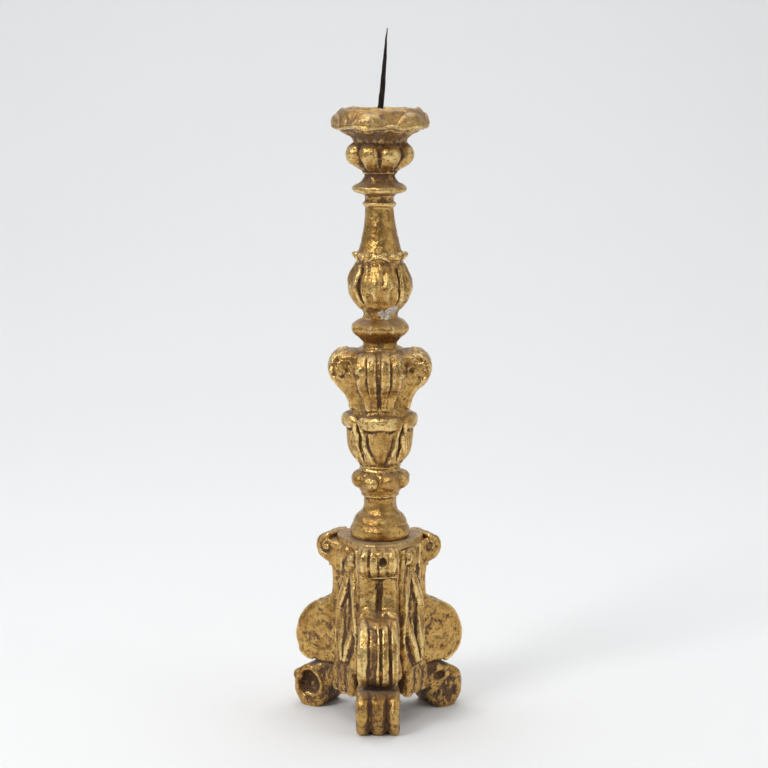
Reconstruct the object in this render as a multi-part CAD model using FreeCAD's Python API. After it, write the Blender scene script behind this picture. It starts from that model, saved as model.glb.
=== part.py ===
import FreeCAD, Part
import math
import os

# Carved and gilt wooden altar candlestick: a turned and carved stem on a three-legged scroll base,
# with a drip pan and an iron pricket on top. Millimetres, +Z up, the stem's axis on Z, the table at Z = 0.
# One leg points to -Y, the other two to 30 and 150 degrees.

# ---- heights of the shoulders where one piece of the stem stands on the next
BASE_BOTTOM_Z = 18.0
LEG_BOTTOM_Z = 37.0
BOARD_BOTTOM_Z = 142.0
BOARD_TOP_Z = 148.0
VASE_BOTTOM_Z = 204.0
CAPITAL_BOTTOM_Z = 253.0
BALUSTER_BOTTOM_Z = 325.0
KNOP_BOTTOM_Z = 423.0
PAN_BOTTOM_Z = 465.4
PAN_FLOOR_Z = 484.5
PAN_RIM_Z = 490.7
SPIKE_TIP_Z = 553.0

# ---- joints
GLUE_GAP = 0.1
FOOT_TENON_R = 10.0
VASE_TENON_R = 8.5
CAPITAL_TENON_R = 9.0
BALUSTER_TENON_R = 8.0
KNOP_TENON_R = 6.5
PAN_TENON_R = 9.0
TENON_LENGTH = 22.0
PAN_TENON_LENGTH = 16.0
MORTISE_SPARE = 1.0
DOWEL_R = 4.0
TANG_R = 2.2
TANG_BOTTOM_Z = 438.0
SPIKE_WELL_R = 3.6
SPIKE_WELL_DEPTH = 1.5

# ---- pricket
SPIKE_LEAN = math.radians(5.2)
SPIKE_SHOULDER_R = 2.2
SPIKE_POINT_R = 0.45

# ---- tripod
LEG_ANGLES = {"front": -90.0, "right": 30.0, "left": 150.0}
PANEL_ANGLES = {"front_left": 210.0, "front_right": -30.0, "back": 90.0}
LEG_WIDTH = 32.0
FOOT_WIDTH = 34.0
LEG_SEAT_R = 22.0
LEG_BACK_R = 36.0
TOP_SCROLL_CENTRE = (37.0, 137.0)
TOP_SCROLL_R = 11.0
VOLUTE_EYE = (45.0, 64.0)
FOOT_EYE = (53.0, 18.5)
FOOT_SCROLL_R = 19.0
FOOT_DOWEL_R_POS = 38.0
LEG_DOWEL_HEIGHTS = (58.0, 114.0)
# the board that closes the base: how far it passes the leg's cheeks and the panels, and how it is eased
BOARD_OVERHANG = 1.2
BOARD_HOLLOW_REACH = 5.4
BOARD_CORNER_R = 9.0
BOARD_EDGE_R = 1.8

CORE_BOTTOM_Z = 22.0
PANEL_GROUND_Z = 26.0
# rows down a panel: height, how far the hollow's middle stands off the core, how far the wings reach out
PANEL_ROWS = [
    (BOARD_BOTTOM_Z, 3.4, 8.4),
    (134.0, 3.0, 8.0),
    (112.0, 2.4, 7.6),
    (90.0, 3.8, 8.8),
    (64.0, 7.0, 10.8),
    (40.0, 10.0, 12.0),
]
PANEL_GROUND_ROW = (PANEL_GROUND_Z, 10.6, 12.4)
PANEL_FRINGE_ROW = (BASE_BOTTOM_Z, 11.0, 12.6)
# upright ribs on a panel: place across, lowest point, half width, height where it dies out
PANEL_RIBS = ((-17.0, 21.0, 3.4, 96.0), (-9.8, 19.0, 4.4, 122.0), (9.8, 19.0, 4.4, 122.0), (17.0, 21.0, 3.4, 96.0))
RIB_RELIEF = 2.2
LEAF_RELIEF = 4.4
RIB_SPREAD = 0.42

# ---- carving: flutes are given as place across and radius
STEM_LEAVES = 4
LEG_FLUTES = ((0.0, 2.4), (-8.4, 1.7), (8.4, 1.7))
TOE_GROOVE_T = 6.6
TOE_GROOVE_R = 2.6
GADROONS = 8
CAPITAL_LEAF_WIDTH = 36.0
CAPITAL_VEINS = ((0.0, 2.2), (-8.6, 1.3), (8.6, 1.3))


def vec(x, y, z):
    return FreeCAD.Vector(x, y, z)


def turn_about_z(shape, degrees):
    turned_copy = shape.copy()
    turned_copy.rotate(vec(0, 0, 0), vec(0, 0, 1), degrees)
    return turned_copy


def around(shape, count, start=0.0):
    """Copies of a shape at equal steps around the stem's axis."""
    return [turn_about_z(shape, start + 360.0 * i / count) for i in range(count)]


def fused(first, others):
    """One clean solid from shapes that overlap."""
    whole = first.fuse(list(others)).removeSplitter()
    return whole.Solids[0] if len(whole.Solids) == 1 else whole


def outline(points, place):
    """A closed wire. A point of two numbers ends a line; four numbers are a point on an arc and its end."""
    edges = []
    here = points[0]
    for step in list(points[1:]) + [points[0]]:
        end = step[-2:]
        if len(step) == 4:
            edges.append(Part.Arc(place(*here), place(*step[:2]), place(*end)).toShape())
        elif math.dist(here, end) > 1e-6:
            edges.append(Part.makeLine(place(*here), place(*end)))
        here = end
    return Part.Wire(edges)


def in_radial_plane(r, z):
    return vec(r, 0, z)


def turned(points):
    """A solid of revolution from radii and heights, read as in outline()."""
    face = Part.Face(outline(points, in_radial_plane))
    return face.revolve(vec(0, 0, 0), vec(0, 0, 1), 360)


def rod(radius, bottom, top):
    return Part.makeCylinder(radius, top - bottom, vec(0, 0, bottom))


def mortise(radius, mouth, depth):
    """The hole for a tenon that goes down from the height of its mouth."""
    return rod(radius + GLUE_GAP, mouth - depth - MORTISE_SPARE, mouth + 1e-3)


def lobed_wire(z, radius, depth, lobes, phase):
    """A ring of arcs whose crests are at the radius and whose cusps lie deeper. Phase puts a crest."""
    step = 2 * math.pi / lobes
    edges = []
    for i in range(lobes):
        crest = math.radians(phase) + i * step
        ends = (crest - step / 2, crest + step / 2)
        low = [vec((radius - depth) * math.cos(a), (radius - depth) * math.sin(a), z) for a in ends]
        high = vec(radius * math.cos(crest), radius * math.sin(crest), z)
        edges.append(Part.Arc(low[0], high, low[1]).toShape())
    return Part.Wire(edges)


def lobed(sections, lobes, phase=-90.0):
    """A carved bulb from rows of height, crest radius and groove depth."""
    wires = [lobed_wire(z, radius, depth, lobes, phase) for z, radius, depth in sections]
    return Part.makeLoft(wires, True, False)


def faceted(sections, sides, phase):
    """A flat-sided collar from rows of height and radius over the corners."""
    wires = []
    for z, radius in sections:
        angles = [math.radians(phase + 360.0 * i / sides) for i in range(sides + 1)]
        wires.append(Part.makePolygon([vec(radius * math.cos(a), radius * math.sin(a), z) for a in angles]))
    return Part.makeLoft(wires, True, True)


def gouge(points, radius, place):
    """A round groove cut along a smooth curve, to be taken away from a carved face."""
    curve = Part.BSplineCurve()
    curve.interpolate([place(*p) for p in points])
    path = Part.Wire([curve.toShape()])
    start = curve.tangent(curve.FirstParameter)[0]
    ring = Part.Wire([Part.makeCircle(radius, curve.value(curve.FirstParameter), start)])
    return path.makePipeShell([ring], True, False)


def spiral_groove(eye, outer_r, inner_r, turns, start_degrees, width, side, depth, sense=1):
    """A scroll's spiral line, cut into the flat cheek of a piece that faces along +X."""

    def edge_of(offset):
        points = []
        count = 8 * int(math.ceil(turns)) + 1
        for i in range(count):
            t = i / (count - 1)
            r = outer_r * (inner_r / outer_r) ** t + offset * (1 - 0.5 * t)
            a = math.radians(start_degrees) + sense * 2 * math.pi * turns * t
            points.append(vec(eye[0] + r * math.cos(a), side, eye[1] + r * math.sin(a)))
        curve = Part.BSplineCurve()
        curve.interpolate(points)
        return curve.toShape(), points

    outside, out_points = edge_of(width / 2)
    inside, in_points = edge_of(-width / 2)
    caps = [Part.makeLine(out_points[0], in_points[0]), Part.makeLine(out_points[-1], in_points[-1])]
    face = Part.Face(Part.Wire(Part.__sortEdges__([outside, inside] + caps)))
    inward = -depth if side > 0 else depth
    return face.extrude(vec(0, inward, 0))


def slab(points, width, centre=0.0):
    """A side outline in radius and height, given a width across the leg that faces along +X."""
    face = Part.Face(outline(points, lambda r, z: vec(r, centre - width / 2, z)))
    return face.extrude(vec(0, width, 0))


def rounded(shape, radius, wanted):
    """Eases the edges whose middles pass the test, where the wood allows it."""
    edges = [e for e in shape.Edges if wanted(e.CenterOfMass)]
    try:
        eased = shape.makeFillet(radius, edges)
    except Part.OCCError:
        return shape
    return eased if eased.isValid() else shape


# ---- top: iron pricket and drip pan


def make_pricket():
    """A forged spike, leaning a little, with its tang driven down through the pan."""
    wires = []
    height = SPIKE_TIP_Z - PAN_FLOOR_Z
    for t in (0.0, 0.12, 0.4, 0.72, 0.93, 1.0):
        lean = math.tan(SPIKE_LEAN) * height * t ** 1.15
        radius = SPIKE_SHOULDER_R + (SPIKE_POINT_R - SPIKE_SHOULDER_R) * t ** 1.8
        centre = vec(lean, 0, PAN_FLOOR_Z + height * t)
        wires.append(Part.Wire([Part.makeCircle(radius, centre)]))
    spike = Part.makeLoft(wires, True, False)
    tang = turned(
        [
            (0, TANG_BOTTOM_Z),
            (0.8, TANG_BOTTOM_Z),
            (TANG_R, TANG_BOTTOM_Z + 9),
            (TANG_R, PAN_FLOOR_Z),
            (0, PAN_FLOOR_Z),
        ]
    )
    return fused(spike, [tang])


def make_drip_pan():
    """A shallow carved dish with eight petals, a wavy lip and a flat floor for the candle."""
    petals = lobed(
        [
            (PAN_BOTTOM_Z, 21.2, 0.0),
            (467.7, 22.4, 0.6),
            (470.8, 29.0, 1.6),
            (473.9, 36.1, 2.8),
            (477.1, 38.7, 3.0),
            (483.3, 36.8, 2.4),
            (488.0, 33.2, 1.6),
            (PAN_RIM_Z, 30.9, 1.0),
        ],
        GADROONS,
    )
    dish = turned(
        [
            (0, PAN_FLOOR_Z),
            (21.5, PAN_FLOOR_Z),
            (25.2, 486.2, 26.6, PAN_RIM_Z),
            (26.6, PAN_RIM_Z + 5),
            (0, PAN_RIM_Z + 5),
        ]
    )
    tenon = rod(PAN_TENON_R, PAN_BOTTOM_Z - PAN_TENON_LENGTH, PAN_BOTTOM_Z + 1)
    hole = rod(TANG_R + 0.05, PAN_BOTTOM_Z - PAN_TENON_LENGTH - 1, PAN_FLOOR_Z + 1)
    well = rod(SPIKE_WELL_R, PAN_FLOOR_Z - SPIKE_WELL_DEPTH, PAN_FLOOR_Z + 1)
    return fused(petals, [tenon]).cut(dish).cut(hole).cut(well).Solids[0]


# ---- stem


def make_gadroon_knop():
    """The knop of eight gadroons over a flared ring."""
    turned_part = turned(
        [
            (0, KNOP_BOTTOM_Z),
            (12.0, KNOP_BOTTOM_Z),
            (15.8, 424.6),
            (20.4, 425.4),
            (21.6, 428.2, 20.6, 430.9),
            (17.3, 432.4),
            (13.4, 434.6, 11.8, 438.7),
            (13.6, 440.2),
            (14.6, 442.4, 13.6, 444.4),
            (0, 444.4),
        ]
    )
    gadroons = lobed(
        [
            (443.0, 14.6, 0.6),
            (446.0, 18.6, 1.6),
            (450.5, 25.2, 3.2),
            (456.4, 27.6, 3.8),
            (460.7, 26.0, 3.0),
            (463.2, 22.9, 1.4),
            (PAN_BOTTOM_Z, 21.2, 0.0),
        ],
        GADROONS,
        phase=-90.0 + 180.0 / GADROONS,
    )
    tenon = rod(KNOP_TENON_R, KNOP_BOTTOM_Z - TENON_LENGTH, KNOP_BOTTOM_Z + 1)
    body = fused(turned_part, [gadroons, tenon])
    body = body.cut(mortise(PAN_TENON_R, PAN_BOTTOM_Z, PAN_TENON_LENGTH))
    return body.cut(rod(TANG_R + 0.05, TANG_BOTTOM_Z - 1, PAN_BOTTOM_Z)).Solids[0]


def make_upper_baluster():
    """The tapered column that rises out of a bulb of four leaves."""
    column = turned(
        [
            (0, BALUSTER_BOTTOM_Z),
            (14.0, BALUSTER_BOTTOM_Z),
            (13.6, 328.0, 14.8, 332.0),
            (14.8, 372.0),
            (17.4, 380.0),
            (14.6, 388.0, 13.0, 396.2),
            (11.3, 405.0, 11.0, 413.8),
            (12.4, 414.6),
            (13.6, 416.7, 12.4, 418.8),
            (11.4, 420.6, 12.0, KNOP_BOTTOM_Z),
            (0, KNOP_BOTTOM_Z),
        ]
    )
    leaves = lobed(
        [
            (330.6, 14.4, 0.8),
            (336.5, 19.1, 2.6),
            (343.0, 23.4, 4.0),
            (350.8, 25.4, 4.6),
            (358.6, 24.2, 4.2),
            (366.0, 20.4, 2.8),
            (371.0, 18.8, 1.8),
        ],
        STEM_LEAVES,
    )
    curl = lobed([(369.6, 18.6, 2.0), (373.2, 21.8, 3.4), (376.4, 22.3, 3.6), (379.6, 18.0, 1.6)], STEM_LEAVES)
    buds = lobed([(368.6, 18.0, 0.8), (373.0, 20.2, 1.4), (377.4, 19.8, 1.4), (380.4, 16.8, 0.6)], 12)
    tenon = rod(BALUSTER_TENON_R, BALUSTER_BOTTOM_Z - TENON_LENGTH, BALUSTER_BOTTOM_Z + 1)
    body = fused(column, [leaves, curl, buds, tenon])
    for side in (-1, 1):
        rib = [(4.5 * side, 368.0), (8.6 * side, 358.0), (8.8 * side, 348.0), (4.2 * side, 337.0)]
        groove = gouge(rib, 1.1, lambda t, z: vec(25.4 - abs(z - 351) ** 1.9 * 0.013, t, z))
        body = body.cut(Part.makeCompound(around(groove, STEM_LEAVES)))
    return body.cut(mortise(KNOP_TENON_R, KNOP_BOTTOM_Z, TENON_LENGTH)).Solids[0]


def make_capital_leaf():
    """One broad acanthus leaf whose head rolls outward, facing along +X."""
    roll = slab(
        [
            (12.0, CAPITAL_BOTTOM_Z),
            (24.4, CAPITAL_BOTTOM_Z),
            (25.2, 261.0, 29.4, 267.0),
            (33.6, 270.6, 37.6, 276.0),
            (40.4, 286.0, 33.5, 296.0),
            (26.5, 302.0, 18.5, 299.6),
            (12.0, 297.0),
        ],
        CAPITAL_LEAF_WIDTH,
    )
    half = CAPITAL_LEAF_WIDTH / 2
    front = outline(
        [
            (-9.0, CAPITAL_BOTTOM_Z),
            (9.0, CAPITAL_BOTTOM_Z),
            (12.2, 262.0, 12.0, 268.0),
            (half - 1.0, 274.0, half, 283.0),
            (half - 0.6, 295.0, 9.0, 299.0),
            (0.0, 303.5, -9.0, 299.0),
            (0.6 - half, 295.0, -half, 283.0),
            (1.0 - half, 274.0, -12.0, 268.0),
            (-12.2, 262.0, -9.0, CAPITAL_BOTTOM_Z),
        ],
        lambda t, z: vec(0, t, z),
    )
    return roll.common(Part.Face(front).extrude(vec(60, 0, 0)))


def capital_leaf_channels():
    """The gouged veins on the face of one rolled leaf: a wide one down the middle and one on either side."""
    vein = [(25.8, 254.6), (29.0, 265.0), (36.8, 274.5), (39.4, 286.0), (34.4, 295.6), (29.0, 300.4)]
    veins = [gouge(vein, radius, lambda r, z, t=t: vec(r, t, z)) for t, radius in CAPITAL_VEINS]
    return Part.makeCompound(veins)


def make_leaf_capital():
    """Four rolled leaves below an eight-sided collar."""
    core = turned(
        [
            (0, CAPITAL_BOTTOM_Z),
            (23.5, CAPITAL_BOTTOM_Z),
            (22.0, 275.0, 16.0, 297.9),
            (13.2, 302.0, 15.5, 308.0),
            (15.5, BALUSTER_BOTTOM_Z),
            (0, BALUSTER_BOTTOM_Z),
        ]
    )
    collar = faceted(
        [(307.6, 16.6), (312.0, 21.6), (314.8, 24.6), (319.6, 25.0), (322.4, 21.6), (BALUSTER_BOTTOM_Z, 17.0)],
        8,
        phase=14.0,
    )
    tenon = rod(CAPITAL_TENON_R, CAPITAL_BOTTOM_Z - TENON_LENGTH, CAPITAL_BOTTOM_Z + 1)
    body = fused(core, [collar, tenon] + around(make_capital_leaf(), STEM_LEAVES))
    for channels in around(capital_leaf_channels(), STEM_LEAVES):
        body = body.cut(channels)
    return body.cut(mortise(BALUSTER_TENON_R, BALUSTER_BOTTOM_Z, TENON_LENGTH)).Solids[0]


def make_lower_vase():
    """The cup of four leaves whose lips fold over at the top."""
    cup = lobed(
        [
            (VASE_BOTTOM_Z, 15.4, 0.0),
            (208.0, 16.4, 0.8),
            (213.0, 19.8, 2.4),
            (219.0, 23.4, 4.0),
            (227.0, 25.4, 5.0),
            (235.0, 26.2, 5.4),
            (240.0, 26.4, 5.0),
        ],
        STEM_LEAVES,
    )
    lips = lobed(
        [
            (235.6, 26.8, 3.8),
            (239.5, 29.4, 4.6),
            (244.4, 31.5, 5.4),
            (248.6, 29.8, 4.4),
            (251.4, 25.4, 1.6),
            (CAPITAL_BOTTOM_Z, 23.5, 0.0),
        ],
        STEM_LEAVES,
    )
    core = rod(17.5, 214.0, CAPITAL_BOTTOM_Z)
    tenon = rod(VASE_TENON_R, VASE_BOTTOM_Z - TENON_LENGTH, VASE_BOTTOM_Z + 1)
    body = fused(cup, [lips, core, tenon])
    for side in (-1, 1):
        rib = [(10.5 * side, 236.0), (10.0 * side, 226.0), (7.2 * side, 216.0), (3.6 * side, 209.0)]
        groove = gouge(rib, 1.3, lambda t, z: vec(26.2 - max(0.0, 236 - z) ** 2 * 0.0118, t, z))
        body = body.cut(Part.makeCompound(around(groove, STEM_LEAVES)))
    return body.cut(mortise(CAPITAL_TENON_R, CAPITAL_BOTTOM_Z, TENON_LENGTH)).Solids[0]


def make_stem_foot():
    """The bell that stands on the base, with a ring of eight beads at its neck."""
    bell = turned(
        [
            (0, BOARD_TOP_Z),
            (23.2, BOARD_TOP_Z),
            (24.2, 154.0, 22.8, 159.6),
            (21.4, 160.2),
            (20.6, 164.0, 19.0, 165.6),
            (14.6, 168.4, 13.3, 174.0),
            (13.0, 180.0, 15.3, 182.9),
            (17.4, 186.0),
            (18.6, 194.6, 16.0, 202.7),
            (15.4, VASE_BOTTOM_Z),
            (0, VASE_BOTTOM_Z),
        ]
    )
    beads = lobed(
        [
            (184.4, 16.6, 0.8),
            (187.9, 20.4, 2.6),
            (191.8, 23.4, 4.2),
            (196.0, 24.3, 4.4),
            (200.0, 21.2, 2.8),
            (202.8, 17.4, 0.8),
        ],
        GADROONS,
        phase=-90.0 + 180.0 / GADROONS,
    )
    tenon = rod(FOOT_TENON_R, BOARD_BOTTOM_Z - TENON_LENGTH, BOARD_TOP_Z + 1)
    body = fused(bell, [beads, tenon])
    return body.cut(mortise(VASE_TENON_R, VASE_BOTTOM_Z, TENON_LENGTH)).Solids[0]


# ---- tripod base


def seat_corner():
    """Where a leg's seat meets a panel's seat: the panel's distance from the axis and its half width."""
    reach = math.hypot(LEG_SEAT_R, LEG_WIDTH / 2)
    angle = math.radians(60) - math.atan2(LEG_WIDTH / 2, LEG_SEAT_R)
    return reach * math.cos(angle), reach * math.sin(angle)


def make_base_core():
    """The six-sided block inside the base, bored for the stem's tenon and the leg dowels."""
    corners = []
    for angle in LEG_ANGLES.values():
        for side in (-1, 1):
            corner = vec(LEG_SEAT_R, side * LEG_WIDTH / 2, CORE_BOTTOM_Z)
            spun = Part.Vertex(corner)
            spun.rotate(vec(0, 0, 0), vec(0, 0, 1), angle)
            corners.append(spun.Point)
    corners.sort(key=lambda p: math.atan2(p.y, p.x))
    block = Part.Face(Part.makePolygon(corners + [corners[0]]))
    core = block.extrude(vec(0, 0, BOARD_BOTTOM_Z - CORE_BOTTOM_Z))
    core = core.cut(mortise(FOOT_TENON_R, BOARD_BOTTOM_Z, TENON_LENGTH))
    return core.cut(leg_dowels(GLUE_GAP)).Solids[0]


def leg_dowels(extra=0.0):
    """Two dowels from the core into each leg, swelled when they stand for their holes."""
    pins = []
    for angle in LEG_ANGLES.values():
        for height in LEG_DOWEL_HEIGHTS:
            start = vec(12.0 - 5 * extra, 0, height)
            pin = Part.makeCylinder(DOWEL_R + extra, 17.0 + 10 * extra, start, vec(1, 0, 0))
            pins.append(turn_about_z(pin, angle))
    return Part.makeCompound(pins)


def foot_dowels(extra=0.0):
    """One upright dowel between each foot and its leg."""
    pin = Part.makeCylinder(DOWEL_R + extra, 26.0 + 10 * extra, vec(FOOT_DOWEL_R_POS, 0, 24.0 - 5 * extra))
    return Part.makeCompound([turn_about_z(pin, angle) for angle in LEG_ANGLES.values()])


def make_top_board():
    """The board that closes the base: three straight edges behind the legs, three hollow ones between."""
    edges = []
    half = LEG_WIDTH / 2 + BOARD_OVERHANG
    hollow = vec(seat_corner()[0] + BOARD_HOLLOW_REACH, 0, 0)
    for angle in LEG_ANGLES.values():
        ends = [Part.Vertex(vec(LEG_BACK_R, side * half, 0)) for side in (-1, 1)]
        middle = Part.Vertex(hollow)
        middle.rotate(vec(0, 0, 0), vec(0, 0, 1), angle + 60)
        following = Part.Vertex(vec(LEG_BACK_R, -half, 0))
        following.rotate(vec(0, 0, 0), vec(0, 0, 1), angle + 120)
        for end in ends:
            end.rotate(vec(0, 0, 0), vec(0, 0, 1), angle)
        edges.append(Part.makeLine(ends[0].Point, ends[1].Point))
        edges.append(Part.Arc(ends[1].Point, middle.Point, following.Point).toShape())
    face = Part.Face(Part.Wire(Part.__sortEdges__(edges)))
    face.translate(vec(0, 0, BOARD_BOTTOM_Z))
    board = face.extrude(vec(0, 0, BOARD_TOP_Z - BOARD_BOTTOM_Z))
    board = rounded(board, BOARD_CORNER_R, lambda c: BOARD_BOTTOM_Z + 0.1 < c.z < BOARD_TOP_Z - 0.1)
    board = rounded(board, BOARD_EDGE_R, lambda c: c.z > BOARD_TOP_Z - 0.1)
    return board.cut(rod(FOOT_TENON_R + GLUE_GAP, BOARD_BOTTOM_Z - 1, BOARD_TOP_Z + 1)).Solids[0]


def make_leg():
    """One scroll bracket, facing along +X: small scroll on top, fluted waist, large volute."""
    cx, cz = TOP_SCROLL_CENTRE
    back_z = cz + math.sqrt(TOP_SCROLL_R ** 2 - (cx - LEG_BACK_R) ** 2)
    diagonal = TOP_SCROLL_R * math.sqrt(0.5)
    leg = slab(
        [
            (LEG_SEAT_R, LEG_BOTTOM_Z),
            (LEG_SEAT_R, BOARD_BOTTOM_Z),
            (LEG_BACK_R, BOARD_BOTTOM_Z),
            (LEG_BACK_R, back_z),
            (cx + diagonal, cz + diagonal, cx + TOP_SCROLL_R, cz),
            (cx + diagonal, cz - diagonal, cx, cz - TOP_SCROLL_R),
            (33.6, 111.0, 36.0, 97.0),
            (37.6, 94.0, 41.0, 93.0),
            (60.6, 83.6, 69.4, 63.0),
            (66.0, 46.6, 53.0, LEG_BOTTOM_Z),
        ],
        LEG_WIDTH,
    )
    leg = rounded(leg, 2.0, lambda c: c.x > 34 and c.z > LEG_BOTTOM_Z + 1 and abs(c.y) > 15)
    front = [(47.6, 134.0), (43.6, 128.4), (36.4, 123.0), (34.2, 110.0), (36.4, 97.4), (44.0, 92.8)]
    front += [(56.6, 86.4), (66.0, 75.6), (69.5, 62.0), (67.2, 50.0), (60.0, 41.4)]
    for t, radius in LEG_FLUTES:
        leg = leg.cut(gouge(front, radius, lambda r, z, t=t: vec(r, t, z)))
    for side in (-1, 1):
        cheek = side * LEG_WIDTH / 2
        leg = leg.cut(spiral_groove(VOLUTE_EYE, 21.0, 5.0, 1.6, 80.0, 2.6, cheek, 1.8, sense=-1))
        leg = leg.cut(spiral_groove(TOP_SCROLL_CENTRE, 7.4, 2.6, 1.2, 150.0, 1.6, cheek, 1.4, sense=-1))
    bores = Part.makeCompound([turn_about_z(leg_dowels(GLUE_GAP), 90.0), turn_about_z(foot_dowels(GLUE_GAP), 90.0)])
    return leg.cut(bores).Solids[0]


def make_foot():
    """One scroll foot, facing along +X, with three toes and a flat sole."""
    ex, ez = FOOT_EYE
    chord = math.sqrt(FOOT_SCROLL_R ** 2 - ez ** 2)
    top_reach = math.sqrt(FOOT_SCROLL_R ** 2 - (LEG_BOTTOM_Z - 2.0 - ez) ** 2)
    foot = slab(
        [
            (28.0, LEG_BOTTOM_Z),
            (30.0, 26.0, 38.0, 20.0),
            (36.0, 9.0, ex - chord - 5.0, 0.0),
            (ex + chord, 0.0),
            (ex + FOOT_SCROLL_R * 0.9, ez - FOOT_SCROLL_R * 0.436, ex + FOOT_SCROLL_R, ez),
            (ex + FOOT_SCROLL_R * 0.8, ez + FOOT_SCROLL_R * 0.6, ex + top_reach, LEG_BOTTOM_Z - 2.0),
            (49.0, LEG_BOTTOM_Z - 2.0),
            (48.0, LEG_BOTTOM_Z),
        ],
        FOOT_WIDTH,
    )
    foot = rounded(foot, 2.4, lambda c: c.x > ex + chord and c.z > 1 and abs(c.y) > 15)
    toes = [(56.0, 36.0), (64.0, 34.0), (70.0, 27.0), (72.2, 18.0), (70.0, 9.0), (64.0, 1.0), (59.0, -4.0)]
    for t in (-TOE_GROOVE_T, TOE_GROOVE_T):
        foot = foot.cut(gouge(toes, TOE_GROOVE_R, lambda r, z, t=t: vec(r, t, z)))
    for side in (-1, 1):
        cheek = side * FOOT_WIDTH / 2
        foot = foot.cut(spiral_groove(FOOT_EYE, 13.0, 4.0, 1.5, 110.0, 2.2, cheek, 1.8, sense=1))
    return foot.cut(turn_about_z(foot_dowels(GLUE_GAP), 90.0)).Solids[0]


def panel_wire(z, hollow, wings):
    """A panel's plan at one height, facing along +X: seat on the core, wings up the legs, a hollow face."""
    seat_r, seat_half = seat_corner()
    wing = (seat_r + wings * math.cos(math.radians(60)), seat_half + wings * math.sin(math.radians(60)))
    corners = [vec(seat_r, -seat_half, z), vec(seat_r, seat_half, z), vec(wing[0], wing[1], z)]
    last = vec(wing[0], -wing[1], z)
    face = Part.Arc(corners[2], vec(seat_r + hollow, 0, z), last).toShape()
    sides = [Part.makeLine(corners[0], corners[1]), Part.makeLine(corners[1], corners[2])]
    return Part.Wire(sides + [face, Part.makeLine(last, corners[0])])


def make_panel():
    """One hollow side of the base, facing along +X: upright acanthus ribs and a hanging leaf."""

    def layer(rows, relief):
        wires = [panel_wire(z, hollow + relief, wings) for z, hollow, wings in rows]
        return Part.makeLoft(wires, True, False)

    ground = layer(PANEL_ROWS + [PANEL_GROUND_ROW], 0.0)
    proud = layer(PANEL_ROWS + [PANEL_FRINGE_ROW], RIB_RELIEF)
    tall = layer(PANEL_ROWS + [PANEL_FRINGE_ROW], LEAF_RELIEF)
    ribs = []
    for t, low, wide, high in PANEL_RIBS:
        top = RIB_SPREAD * t
        rib = outline(
            [(top - 1.2, high), (t - wide, low + wide), (t, low, t + wide, low + wide), (top + 1.2, high)],
            lambda y, z: vec(0, y, z),
        )
        ribs.append(Part.Face(rib).extrude(vec(70, 0, 0)).common(proud))
    leaf = outline(
        [
            (-2.6, 136.0),
            (-6.4, 112.0, -5.0, 92.0),
            (-8.4, 76.0, -5.4, 62.0),
            (0.0, 70.0),
            (5.4, 62.0),
            (8.4, 76.0, 5.0, 92.0),
            (6.4, 112.0, 2.6, 136.0),
        ],
        lambda y, z: vec(0, y, z),
    )
    tongue = outline([(-2.6, 60.0), (-6.0, 24.0), (0, BASE_BOTTOM_Z, 6.0, 24.0), (2.6, 60.0)], lambda y, z: vec(0, y, z))
    carved = [Part.Face(w).extrude(vec(70, 0, 0)).common(tall) for w in (leaf, tongue)]
    return fused(ground, ribs + carved)


def main():
    os.makedirs("parts", exist_ok=True)
    nodes = {
        "pricket_spike": make_pricket(),
        "drip_pan": make_drip_pan(),
        "gadroon_knop": make_gadroon_knop(),
        "upper_baluster": make_upper_baluster(),
        "leaf_capital": make_leaf_capital(),
        "lower_vase": make_lower_vase(),
        "stem_foot": make_stem_foot(),
        "base_top_board": make_top_board(),
        "base_core": make_base_core(),
        "leg_dowels": leg_dowels(),
        "foot_dowels": foot_dowels(),
    }
    leg = make_leg()
    foot = make_foot()
    panel = make_panel()
    for name, angle in LEG_ANGLES.items():
        nodes["leg_" + name] = turn_about_z(leg, angle)
        nodes["foot_" + name] = turn_about_z(foot, angle)
    for name, angle in PANEL_ANGLES.items():
        nodes["leaf_panel_" + name] = turn_about_z(panel, angle)
    for name, shape in nodes.items():
        shape.exportStep("parts/" + name + ".step")
        print(name, shape.isValid(), len(shape.Solids), round(shape.Volume, 1))


main()
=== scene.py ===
import math
import bpy
import numpy as np
import openvdb
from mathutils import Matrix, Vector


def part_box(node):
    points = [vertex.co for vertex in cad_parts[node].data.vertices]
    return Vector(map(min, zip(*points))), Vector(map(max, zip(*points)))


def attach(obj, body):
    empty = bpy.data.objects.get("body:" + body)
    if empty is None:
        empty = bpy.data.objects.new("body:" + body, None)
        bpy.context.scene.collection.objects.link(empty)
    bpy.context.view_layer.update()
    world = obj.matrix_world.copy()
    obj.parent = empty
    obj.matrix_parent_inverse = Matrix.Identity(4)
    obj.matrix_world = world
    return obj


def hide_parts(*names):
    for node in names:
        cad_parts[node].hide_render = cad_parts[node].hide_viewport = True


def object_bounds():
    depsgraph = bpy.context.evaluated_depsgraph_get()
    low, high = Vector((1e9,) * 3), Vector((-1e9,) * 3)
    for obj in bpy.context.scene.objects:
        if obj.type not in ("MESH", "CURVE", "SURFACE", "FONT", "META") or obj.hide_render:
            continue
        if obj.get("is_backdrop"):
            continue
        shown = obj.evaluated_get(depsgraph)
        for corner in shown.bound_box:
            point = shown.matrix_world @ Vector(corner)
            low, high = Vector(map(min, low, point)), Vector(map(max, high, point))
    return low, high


# A carved and gilt altar candlestick. Each carved piece of wood starts as a block of signed distances, is
# worked with round strokes, low bands and lumps like a carver's, and is then meshed. Lengths in the carving
# are in millimetres. A drop is a height counted down from a piece's upper shoulder, which the CAD frame
# gives. Pieces of the base are carved facing along +X and turned to their places afterwards.

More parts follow.
